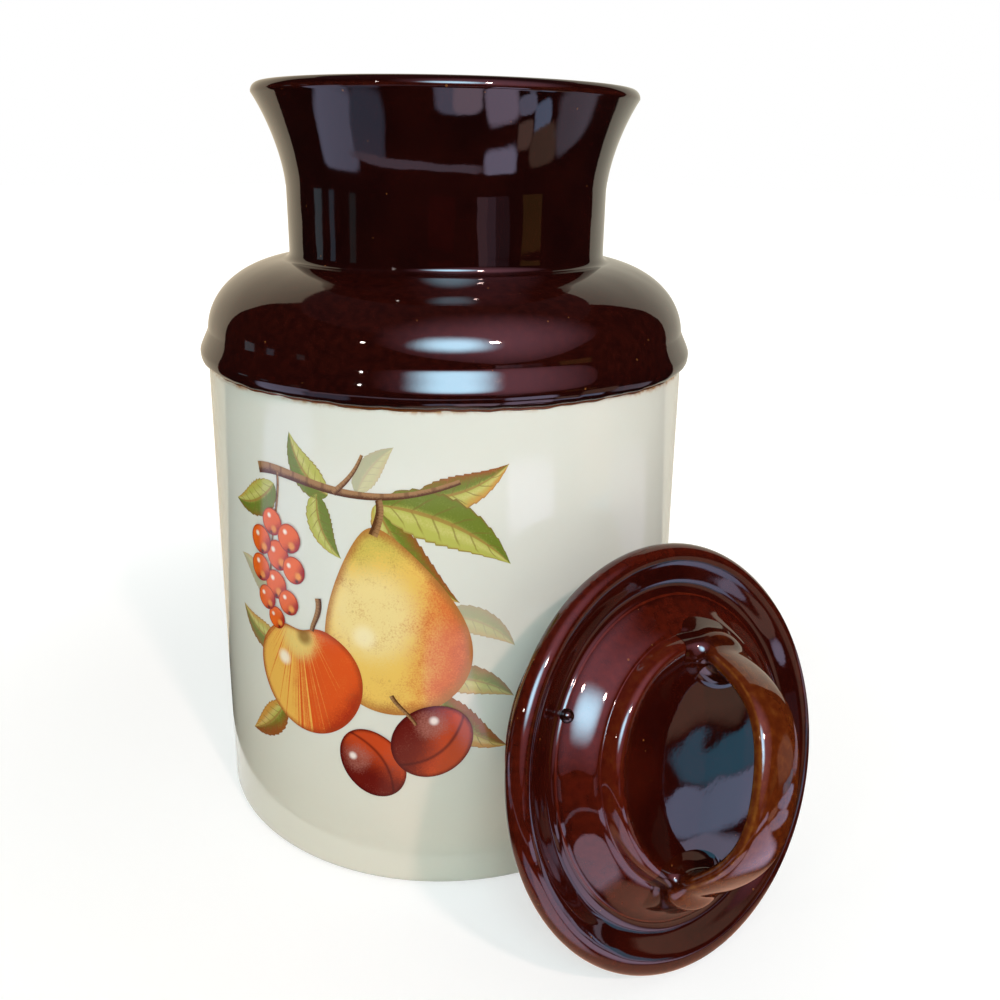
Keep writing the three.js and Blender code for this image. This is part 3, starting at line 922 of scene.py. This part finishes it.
GLAZE_BANDS = (
    (0.0, 0.02), (0.0325, 0.05), (0.0345, 0.42), (0.0375, 0.56), (0.0392, 0.36), (0.047, 0.36),
    (0.0496, 0.12), (0.0555, 0.08), (0.0590, 0.12), (0.0630, 0.36), (0.0652, 0.36),
)

lid_axis = Vector(frame["joints"][0]["axis"]).normalized()
lid_across = Vector((1, 0, 0))
lid_up = lid_axis.cross(lid_across)
cad_lid = np.array([v.co for v in frame["nodes"]["lid_shell"].data.vertices])


def lid_reach(direction):
    reach = cad_lid @ np.array(direction)
    return float(reach.min()), float(reach.max())


lid_pose = Matrix((lid_across, lid_up, lid_axis)).transposed().to_4x4()
lid_pose.translation = (
    lid_across * (sum(lid_reach(lid_across)) / 2) + lid_up * (sum(lid_reach(lid_up)) / 2)
    + lid_axis * (lid_reach(lid_axis)[0] + COLLAR_DEPTH)
)

brim_middle = BRIM_THICKNESS / 2
brim_flat = BRIM_RADIUS - EDGE_ROUND
ring_run = RING_FOOT_RADIUS - RING_RADIUS
ring_foot = CHANNEL_FLOOR + RING_FOOT_STEP
channel_low = RING_FOOT_RADIUS + CHANNEL_LOW * CHANNEL_WIDTH
lid_top = (
    Outline(BRIM_RADIUS, brim_middle)
    .round((brim_flat, brim_middle), EDGE_ROUND, brim_middle, 0, 90, 14)
    .bend((RING_FOOT_RADIUS + CHANNEL_ROLL * CHANNEL_WIDTH, BRIM_THICKNESS),
          (RING_FOOT_RADIUS + CHANNEL_SLOPE * CHANNEL_WIDTH, CHANNEL_FLOOR),
          (channel_low, CHANNEL_FLOOR), 20)
    .bend((RING_FOOT_RADIUS + CHANNEL_TURN * CHANNEL_WIDTH, CHANNEL_FLOOR),
          (RING_FOOT_RADIUS + RING_FOOT_ROUND, ring_foot - RING_FOOT_ROUND),
          (RING_FOOT_RADIUS, ring_foot), 10)
    .bend((RING_FOOT_RADIUS - RING_SWELL * ring_run, ring_foot + RING_SOFTNESS * (RING_RISE - ring_foot)),
          (RING_RADIUS + RING_CAP * ring_run, RING_RISE), (RING_RADIUS, RING_RISE), 36)
    .bend((RING_RADIUS - TOP_STEP[0], RING_RISE + TOP_STEP[1]),
          (TOP_RADIUS + TOP_ROUND, TOP_RISE), (TOP_RADIUS, TOP_RISE), 18)
    .line((0, TOP_RISE), 30)
).points
roof = TOP_RISE - LID_WALL
collar_inside = COLLAR_RADIUS - COLLAR_WALL
collar_turn = -COLLAR_DEPTH + COLLAR_ROUND
lid_under = (
    Outline(0, roof)
    .line((RING_RADIUS - LID_WALL, roof), 12)
    .bend((collar_inside - ROOF_PULL[0], roof - ROOF_PULL[1]), (collar_inside, ROOF_DROP),
          (collar_inside, 0), 14)
    .line((collar_inside, collar_turn), 12)
    .round((collar_inside + COLLAR_ROUND, collar_turn), COLLAR_ROUND, COLLAR_ROUND, 180, 270, 8)
    .line((COLLAR_RADIUS - COLLAR_ROUND, -COLLAR_DEPTH), 2)
    .round((COLLAR_RADIUS - COLLAR_ROUND, collar_turn), COLLAR_ROUND, COLLAR_ROUND, -90, 0, 8)
    .line((COLLAR_RADIUS, -COLLAR_ROUND), 10)
    .bend((COLLAR_RADIUS, -COLLAR_PULL), (COLLAR_RADIUS + COLLAR_PULL, 0),
          (COLLAR_RADIUS + COLLAR_ROUND, 0), 6)
    .line((brim_flat, 0), 8)
    .round((brim_flat, brim_middle), EDGE_ROUND, brim_middle, -90, 0, 14)
).points


def lid_height(radius):
    """How high the lid's glazed top stands at a distance from its axis."""
    return np.interp(radius, lid_top[::-1, 0], lid_top[::-1, 1])


lid_brown = brown_glaze("lid glaze", LID_THICK, LID_MIDDLE, LID_THIN, BROWN_CLOUD, wiped=True)
lid = turned("lid_shell_cast", np.vstack([lid_under, lid_top[1:]]), lid_brown, CAST_WOBBLE)
lid_local = points_of(lid)
lid_round = np.hypot(lid_local[:, 0], lid_local[:, 1])
under_brim = (lid_round > COLLAR_RADIUS + SEAT_MARGIN) & (lid_round < brim_flat + SEAT_MARGIN)
on_seat = (lid_local[:, 2] < SEAT_SKIN) & under_brim
on_foot = lid_local[:, 2] < -COLLAR_DEPTH + WIPED_FOOT * COLLAR_ROUND
paint(lid, "bare", on_seat | on_foot)
band_radii, band_thinness = zip(*GLAZE_BANDS)
on_top = lid_local[:, 2] > lid_height(lid_round) - TOP_SKIN
thin_bands = np.interp(lid_round, band_radii, band_thinness) * on_top
paint(lid, "break", np.maximum(thin_bands, LID_BREAK * sharp_turns(lid, soft=200, sharp=700, spread=3)))
lid.data.transform(lid_pose)
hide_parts("lid_shell")
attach(lid, "lid")


# Glaze drip: one round blob of the same brown glaze, fallen on the foot of the lid's ring when the
# lid was dipped. It was never wiped off and is fired on.
DRIP_RADIUS = 0.0021
DRIP_RISE = 0.0018
DRIP_PLACE = Vector((-0.0407, 0.0264, 0.0057))
DRIP_LEAN = 0.4
DRIP_UP = 0.9
DRIP_THICK = (0.008, 0.002, 0.001, 1)
DRIP_MIDDLE = (0.02, 0.005, 0.002, 1)
DRIP_THIN = (0.05, 0.015, 0.004, 1)
DRIP_CLOUD = 0.3
DRIP_TURNS = 48
drip_lean = Vector((DRIP_PLACE.x, DRIP_PLACE.y, 0)).normalized() * DRIP_LEAN
drip_out = (drip_lean + Vector((0, 0, DRIP_UP))).normalized()
drip_brown = brown_glaze("drip glaze", DRIP_THICK, DRIP_MIDDLE, DRIP_THIN, DRIP_CLOUD)
drip_outline = Outline(0, -DRIP_RISE).round((0, 0), DRIP_RADIUS, DRIP_RISE, -90, 90, 16).points
drip = turned("lid_glaze_drip", drip_outline, drip_brown, turns=DRIP_TURNS)
paint(drip, "break", np.zeros(len(drip.data.vertices)))
drip_pose = drip_out.to_track_quat("Z", "Y").to_matrix().to_4x4()
drip_pose.translation = DRIP_PLACE
drip.data.transform(lid_pose @ drip_pose)
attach(drip, "lid")


# Strap handle: a pulled oval strap of clay, bent into an arch and luted to the lid's flat top by its
# two thumbed-down feet. The joint is smoothed over with slip, so under the glaze strap, feet and lid
# run into each other.
STRAP_WIDTH = 0.0175
STRAP_THICKNESS = 0.0066
STRAP_SPAN = 0.078
STRAP_RISE = 0.029
STRAP_SQUARENESS = 2.4
KNEE_RISE = 0.47
KNEE_PLACE = 0.72
CROWN_PLACE = 0.62
PAD_LENGTH = 0.013
PAD_WIDTH = 0.0194
PAD_RISE = 0.0036
HANDLE_TURN = math.radians(-23)
HANDLE_SHIFT = -0.002
LUTE_ROUND = 0.003
FOOT_BLEND = 0.004
SKIRT_SINK = 0.0002
SKIRT_DEPTH = 0.002
CROWN_CLEARANCE = 0.0003
CELL = 0.00045
SIDE_MARGIN = 0.001
END_MARGIN = 0.003
DEPTH_MARGIN = 0.009
SLIP_SMOOTHING = 0.5
SLIP_PASSES = 6
AMBER_START = 0.001
AMBER_RUN = 0.006
AMBER_LEAST = 0.48
HANDLE_MIDDLE = (0.100, 0.0165, 0.0028, 1)
HANDLE_THIN = (0.26, 0.100, 0.018, 1)


def strap_distance(across, along, height):
    """Signed distance to the arched strap, whose centre line lies in the along and height plane."""
    half = STRAP_SPAN / 2
    sunk = TOP_RISE - LID_WALL - STRAP_THICKNESS / 2
    crown = TOP_RISE + STRAP_RISE - STRAP_THICKNESS / 2 - CROWN_CLEARANCE
    knee = TOP_RISE + KNEE_RISE * STRAP_RISE
    leg = Outline(half, sunk).bend((KNEE_PLACE * half, knee), (CROWN_PLACE * half, crown), (0, crown), 120)
    leg = leg.points
    flat_along, flat_height = np.abs(along[0]), height[0]
    gap = np.hypot(flat_along[..., None] - leg[:, 0], flat_height[..., None] - leg[:, 1]).min(-1)
    x = np.abs(across) / (STRAP_WIDTH / 2)
    g = np.broadcast_to(gap[None], across.shape) / (STRAP_THICKNESS / 2)
    power = STRAP_SQUARENESS
    near = np.maximum((x ** power + g ** power) ** (1 / power), 1e-6)
    steep_across = (x / near) ** (power - 1) / (STRAP_WIDTH / 2)
    steep_gap = (g / near) ** (power - 1) / (STRAP_THICKNESS / 2)
    return (near - 1) / np.maximum(np.hypot(steep_across, steep_gap), 1e-9)


def pad_distance(across, along, height):
    """About how far a point is from the thumbed-down feet."""
    x = across / (PAD_WIDTH / 2)
    y = (np.abs(along) - TOP_RADIUS) / (PAD_LENGTH / 2)
    z = (height - TOP_RISE) / PAD_RISE
    return (np.sqrt(x * x + y * y + z * z) - 1) * PAD_RISE


def melted(a, b, reach):
    """Two distances joined with a fillet, as slip and glaze fill a corner."""
    overlap = np.maximum(reach - np.abs(a - b), 0) / reach
    return np.minimum(a, b) - overlap ** 2 * reach / 4


def skinned(field, low, cell):
    """Points and quads of the surface where a sampled field changes sign, one point per crossed cell."""
    inside = field < 0
    corners = [(i, j, k) for i in (0, 1) for j in (0, 1) for k in (0, 1)]
    size = np.array(field.shape) - 1

    def cut(block, c):
        return block[c[0]:c[0] + size[0], c[1]:c[1] + size[1], c[2]:c[2] + size[2]]

    total = sum(cut(inside, c).astype(int) for c in corners)
    crossed = (total > 0) & (total < 8)
    places = np.zeros((*size, 3))
    count = np.zeros(size)
    for a in corners:
        for axis in range(3):
            if a[axis]:
                continue
            b = tuple(1 if k == axis else a[k] for k in range(3))
            fa, fb = cut(field, a), cut(field, b)
            change = (fa < 0) != (fb < 0)
            share = np.where(change, fa / np.where(change, fa - fb, 1), 0)
            for k in range(3):
                places[..., k] += change * (a[k] + (share if k == axis else 0))
            count += change
    number = np.full(size, -1)
    number[crossed] = np.arange(crossed.sum())
    where = np.argwhere(crossed)
    points = low + cell * (where + places[crossed] / count[crossed][:, None])
    quads = []
    for axis in range(3):
        u, v = [k for k in range(3) if k != axis]
        ahead = np.roll(inside, -1, axis) != inside
        spots = np.argwhere(ahead)
        spots = spots[(spots[:, axis] < size[axis]) & (spots[:, u] > 0) & (spots[:, v] > 0)
                      & (spots[:, u] < size[u]) & (spots[:, v] < size[v])]
        step_u, step_v = np.eye(3, dtype=int)[u], np.eye(3, dtype=int)[v]
        ring = [number[tuple((spots - s).T)] for s in (0 * step_u, step_u, step_u + step_v, step_v)]
        quad = np.stack(ring, 1)
        outward = inside[tuple(spots.T)] != (axis == 1)
        quad[~outward] = quad[~outward][:, ::-1]
        quads.extend(quad.tolist())
    return points, quads


reach_across = PAD_WIDTH / 2 + FOOT_BLEND + SIDE_MARGIN
reach_along = TOP_RADIUS + PAD_LENGTH / 2 + FOOT_BLEND + END_MARGIN
grid_low = np.array([-reach_across, -reach_along, TOP_RISE - DEPTH_MARGIN])
grid_high = np.array([reach_across, reach_along, TOP_RISE + STRAP_RISE + SIDE_MARGIN])
axes = [np.arange(a, b, CELL) for a, b in zip(grid_low, grid_high)]
across, along, height = np.meshgrid(*axes, indexing="ij")
strap_along = along - HANDLE_SHIFT
strap = strap_distance(across, strap_along, height)
clay = melted(strap, pad_distance(across, strap_along, height), LUTE_ROUND)
above_lid = height - lid_height(np.hypot(across, along)) + SKIRT_SINK
skirt = np.maximum(clay - FOOT_BLEND, -SKIRT_DEPTH - above_lid)
handle_field = np.maximum(melted(clay, above_lid, FOOT_BLEND), skirt)
handle_points, handle_quads = skinned(handle_field, grid_low, CELL)
handle_brown = brown_glaze("handle glaze", LID_THICK, HANDLE_MIDDLE, HANDLE_THIN, BROWN_CLOUD)
handle = mesh_object("lid_handle_strap", handle_points, handle_quads, handle_brown)
relax = handle.modifiers.new("slip smoothing", "SMOOTH")
relax.factor = SLIP_SMOOTHING
relax.iterations = SLIP_PASSES
bpy.context.view_layer.update()
settled = handle.evaluated_get(bpy.context.evaluated_depsgraph_get()).data
smooth_points = np.zeros(len(settled.vertices) * 3, np.float32)
settled.vertices.foreach_get("co", smooth_points)
handle.modifiers.remove(relax)
handle.data.vertices.foreach_set("co", smooth_points)
handle.data.update()
handle_local = points_of(handle)
clear_of_lid = handle_local[:, 2] - lid_height(np.hypot(handle_local[:, 0], handle_local[:, 1]))
rising = np.clip((clear_of_lid - AMBER_START) / AMBER_RUN, 0, 1)
paint(handle, "break", rising * np.maximum(AMBER_LEAST, sharp_turns(handle, soft=200, sharp=640, spread=6)))
handle.data.transform(lid_pose @ Matrix.Rotation(HANDLE_TURN, 4, "Z"))
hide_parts("lid_handle")
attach(handle, "lid")


# Studio: a plain pale floor under a white surround, a small warm key lamp, a cool soft box above the
# camera and weak lamps at both sides. Dark cards stand round the front and lie on the floor, with paler
# ones among them: only reflections see them, and they give the brown glaze its lights and darks.
FLOOR_SIZE = 12.0
FLOOR_BOUNCE = (0.82, 0.80, 0.73, 1)
FLOOR_SEEN = (0.50, 0.50, 0.50, 1)
FLOOR_ROUGHNESS = 0.9
FLOOR_LIFT = 0.56
LIFT_START = 0.12
LIFT_END = 0.55
FILL_COLOUR = (0.45, 0.435, 0.39, 1)
WHITE = (1, 1, 1, 1)
SUBJECT = Vector((0, -0.05, 0.10))


def seen_directly(recipe):
    """1 for rays that see the surround itself or its mirror image, 0 for rays that carry its light."""
    path = recipe.node("LightPath").outputs
    shown = recipe.math("MAXIMUM", path["Is Camera Ray"], path["Is Glossy Ray"])
    return recipe.math("MAXIMUM", shown, path["Is Transmission Ray"])


def panel(name, half, material):
    """A flat square that lies on its own middle."""
    corners = [(-half, -half, 0), (half, -half, 0), (half, half, 0), (-half, half, 0)]
    return mesh_object(name, corners, [(0, 1, 2, 3)], material)


world = bpy.data.worlds.new("studio")
bpy.context.scene.world = world
world.use_nodes = True
sky = Recipe(world.node_tree)
sky.join(sky.mix(seen_directly(sky), FILL_COLOUR, WHITE), sky.nodes["Background"].inputs["Color"])

floor_material, floor_recipe, floor_shader = new_finish("studio floor")
floor_seen = seen_directly(floor_recipe)
floor_colour = floor_recipe.mix(floor_seen, FLOOR_BOUNCE, FLOOR_SEEN)
floor_recipe.join(floor_colour, floor_shader.inputs["Base Color"])
floor_shader.inputs["Roughness"].default_value = FLOOR_ROUGHNESS
floor_shader.inputs["Specular IOR Level"].default_value = 0.0
floor_shader.inputs["Emission Color"].default_value = WHITE
away = floor_recipe.node("VectorMath", operation="LENGTH", Vector=floor_recipe.place()).outputs["Value"]
lift = floor_recipe.ramp(away, LIFT_START, LIFT_END, FLOOR_LIFT, 1.0)
floor_recipe.join(floor_recipe.math("MULTIPLY", floor_seen, lift), floor_shader.inputs["Emission Strength"])
floor = panel("studio_floor", FLOOR_SIZE / 2, floor_material)


def around(azimuth, elevation, distance):
    """A point seen from the jar: azimuth from the lid's side (-Y) towards +X, in degrees."""
    a, e = math.radians(azimuth), math.radians(elevation)
    return Vector((math.sin(a) * math.cos(e), -math.cos(a) * math.cos(e), math.sin(e))) * distance


def facing_subject(made, azimuth, elevation, distance):
    made.location = SUBJECT + around(azimuth, elevation, distance)
    made.rotation_euler = (SUBJECT - made.location).to_track_quat("-Z", "Y").to_euler()


def lamp(name, azimuth, elevation, distance, size, power, colour, mirrored=True):
    light = bpy.data.lights.new(name, "AREA")
    light.shape = "RECTANGLE"
    light.size, light.size_y = size
    light.energy = power
    light.color = colour
    made = bpy.data.objects.new(name, light)
    made.visible_glossy = mirrored
    facing_subject(made, azimuth, elevation, distance)
    bpy.context.scene.collection.objects.link(made)


lamp("key lamp", -11, 41, 1.6, (0.08, 0.08), 8.3, (1.0, 0.68, 0.62))
lamp("soft box", -38, 39, 1.3, (0.5, 0.3), 7.8, (0.60, 0.88, 0.96), mirrored=False)
lamp("right fill", 62, 22, 1.3, (0.6, 0.4), 1.6, (0.75, 0.94, 1.0), mirrored=False)
lamp("side lamp", -80, 34, 1.4, (0.03, 0.03), 0.6, (1.0, 0.93, 0.86))
lamp("warm bounce", -108, 12, 1.2, (0.6, 0.3), 0.4, (1.0, 0.84, 0.62), mirrored=False)


def reflection_only(made):
    made.visible_camera = False
    made.visible_diffuse = False
    made.visible_transmission = False
    made.visible_shadow = False


def glow(name, azimuth, elevation, distance, size, strength, colour, full):
    """A clear panel with a soft bright middle, for the blurred highlights on the glaze."""
    material, recipe, shader = new_finish(name)
    recipe.nodes.remove(shader)
    fade = recipe.node("TexGradient", gradient_type="SPHERICAL", Vector=recipe.place()).outputs["Fac"]
    light = recipe.node("Emission", Color=colour, Strength=recipe.ramp(fade, 0.0, full, 0.0, strength))
    both = recipe.node("AddShader")
    recipe.join(light.outputs[0], both.inputs[0])
    recipe.join(recipe.node("BsdfTransparent").outputs[0], both.inputs[1])
    recipe.join(both.outputs[0], recipe.nodes["Material Output"].inputs["Surface"])
    made = panel(name, 1, material)
    made.scale = (size[0] / 2, size[1] / 2, 1)
    facing_subject(made, azimuth, elevation, distance)
    reflection_only(made)


glow("soft_box_face", -34, 38, 1.25, (1.00, 0.76), 20.0, (0.46, 0.80, 1.0, 1), 0.85)
glow("ceiling_glow", -12, 42, 1.6, (3.8, 3.2), 2.0, (1.0, 0.40, 0.52, 1), 1.0)

CARD_DISTANCE = 2.0
CARD_HEIGHT = 2.4
CARD_DEGREES = 6
FLOOR_CARD_START = 0.10
FLOOR_CARD_LIFT = 0.002
ROOF_MIDDLE = 0.001
LOW_WALL = 0.25
PATCH_LIFT = 0.003
PATCH_STEP = 0.0002
PATCH_FEATHER = 0.16
PATCH_CELLS = 16
PATCH_ROUNDNESS = 4
DIM = (0.012, 0.007, 0.007)
ROOF_DIM = (0.06, 0.03, 0.035)
CREAM_WALL = (0.72, 0.67, 0.54)
BEIGE_WALL = (0.80, 0.68, 0.50)
SURROUND = ((-158, 88, DIM), (88, 150, CREAM_WALL), (150, 202, BEIGE_WALL))
LOW_STREAKS = (
    (-158, -139, DIM), (-139, -132, (0.30, 0.42, 0.48)), (-132, -124, DIM), (-124, -119, (0.22, 0.34, 0.45)),
    (-119, -106, DIM), (-106, -101, (0.12, 0.19, 0.20)), (-101, -48, DIM), (-48, -30, (0.10, 0.01, 0.01)),
    (-30, -15, DIM), (-15, -9, (0.55, 0.34, 0.42)), (-9, -3, (0.36, 0.25, 0.34)),
    (-3, 7, (0.14, 0.09, 0.12)), (7, 16, DIM), (16, 31, (0.30, 0.16, 0.045)), (31, 88, DIM), *SURROUND[1:],
)
FLOOR_PATCHES = (
    (-60, 16, 0.10, 0.180, (0.82, 0.46, 0.33)), (-126, -94, 0.25, 0.80, (1.10, 1.12, 1.65)),
    (-100, -76, 0.24, 0.56, (0.38, 0.46, 0.70)), (-46, -12, 0.185, 0.29, (1.05, 1.05, 1.55)),
    (-34, -12, 0.164, 0.29, (2.1, 1.55, 2.0)), (-12, 12, 0.175, 0.35, (2.1, 1.65, 2.3)),
    (10, 24, 0.255, 0.33, (1.3, 1.3, 1.9)), (21, 35, 0.30, 0.42, (1.05, 1.35, 2.1)),
    (-12, 12, 0.40, 0.61, (2.0, 1.85, 2.7)), (-104, -8, 0.485, 0.58, (0.85, 0.68, 0.90)),
    (10, 21, 0.34, 0.44, (0.90, 0.55, 0.45)), (38, 68, 0.30, 0.60, (0.65, 0.58, 0.75)),
)
LOW_CARDS = ((18, 38, 0.33, 0.045, 0.115, (0.62, 0.38, 0.28)), (27, 39, 0.43, 0.0, 0.03, (0.15, 0.75, 1.15)))

card_material, card_recipe, card_shader = new_finish("reflected card")
card_shader.inputs["Base Color"].default_value = (0, 0, 0, 1)
card_shader.inputs["Specular IOR Level"].default_value = 0.0
card_shader.inputs["Emission Strength"].default_value = 1.0
tint = card_recipe.node("Attribute", attribute_name="tint").outputs["Color"]
card_recipe.join(tint, card_shader.inputs["Emission Color"])
card_blend = card_recipe.node("MixShader")
card_clear = card_recipe.node("BsdfTransparent")
card_recipe.join(card_recipe.mark("cover"), card_blend.inputs[0])
card_recipe.join(card_clear.outputs[0], card_blend.inputs[1])
card_recipe.join(card_shader.outputs[0], card_blend.inputs[2])
card_recipe.join(card_blend.outputs[0], card_recipe.nodes["Material Output"].inputs["Surface"])


def card_strip(name, start, end, near, far, colour, feather=0.0):
    """A card between two rims round the jar, given as (distance, height). A feather rounds and fades it."""
    columns = np.linspace(0, 1, 1 + (PATCH_CELLS if feather else 1 + int((end - start) / CARD_DEGREES)))
    rows = np.linspace(0, 1, 1 + (PATCH_CELLS if feather else 1))
    points, faces, covers = [], [], []
    for u in columns:
        for v in rows:
            distance, height = np.array(near) + v * (np.array(far) - np.array(near))
            points.append(around(start + u * (end - start), 0, distance) + Vector((0, 0, height)))
            from_middle = abs(2 * u - 1) ** PATCH_ROUNDNESS + abs(2 * v - 1) ** PATCH_ROUNDNESS
            inner = 1 - from_middle ** (1 / PATCH_ROUNDNESS)
            covers.append(min(max(inner / feather, 0.0), 1.0) if feather else 1.0)
    for i in range(len(columns) - 1):
        for j in range(len(rows) - 1):
            k = i * len(rows) + j
            faces.append((k, k + len(rows), k + len(rows) + 1, k + 1))
    made = mesh_object(name, points, faces, card_material)
    layer = made.data.attributes.new("tint", "FLOAT_COLOR", "POINT")
    layer.data.foreach_set("color", np.tile((*colour, 1.0), len(points)))
    paint(made, "cover", covers)
    reflection_only(made)


wall_foot, wall_line, wall_top = ((CARD_DISTANCE, height) for height in (0.0, LOW_WALL, CARD_HEIGHT))
floor_near, floor_far = ((distance, FLOOR_CARD_LIFT) for distance in (FLOOR_CARD_START, CARD_DISTANCE))
for kind, cards, near, far in (
    ("standing_card", SURROUND, wall_line, wall_top),
    ("low_streak", LOW_STREAKS, wall_foot, wall_line),
    ("floor_card", SURROUND, floor_near, floor_far),
):
    for number, (start, end, colour) in enumerate(cards):
        card_strip(f"{kind}_{number}", start, end, near, far, colour)
for number, (start, end, near, far, colour) in enumerate(FLOOR_PATCHES):
    lift = PATCH_LIFT + number * PATCH_STEP
    card_strip(f"floor_patch_{number}", start, end, (near, lift), (far, lift), colour, PATCH_FEATHER)
for number, (start, end, distance, low, high, colour) in enumerate(LOW_CARDS):
    card_strip(f"low_card_{number}", start, end, (distance, low), (distance, high), colour, PATCH_FEATHER)
card_strip("roof_card", -180, 180, wall_top, (ROOF_MIDDLE, CARD_HEIGHT), ROOF_DIM)


# Camera: the photograph's own place, a little below the rim and to the left of the leaning lid.
# Its place, turn and focal length were fitted to the outlines of the base, bead, mouth and lid.
CAMERA_AZIMUTH = -35.74
CAMERA_DISTANCE = 0.35722
CAMERA_HEIGHT = 0.23684
CAMERA_TURN = 3.262
CAMERA_YAW = math.radians(CAMERA_TURN - CAMERA_AZIMUTH)
CAMERA_PITCH = math.radians(19.646)
CAMERA_ROLL = math.radians(1.061)
FOCAL_LENGTH = 35.186
FILM_WIDTH = 36.0
NEAREST_SEEN = 0.01
forward = Vector((
    math.sin(CAMERA_YAW) * math.cos(CAMERA_PITCH),
    math.cos(CAMERA_YAW) * math.cos(CAMERA_PITCH),
    -math.sin(CAMERA_PITCH),
))
level = Vector((math.cos(CAMERA_YAW), -math.sin(CAMERA_YAW), 0))
right = math.cos(CAMERA_ROLL) * level + math.sin(CAMERA_ROLL) * level.cross(forward)
lens = bpy.data.cameras.new("camera")
lens.lens = FOCAL_LENGTH
lens.sensor_width = FILM_WIDTH
lens.clip_start = NEAREST_SEEN
camera = bpy.data.objects.new("camera", lens)
camera.matrix_world = Matrix((right, right.cross(forward), -forward)).transposed().to_4x4()
camera.matrix_world.translation = around(CAMERA_AZIMUTH, 0, CAMERA_DISTANCE) + Vector((0, 0, CAMERA_HEIGHT))
bpy.context.scene.collection.objects.link(camera)
bpy.context.scene.camera = camera
bpy.context.scene.view_settings.view_transform = "Standard"
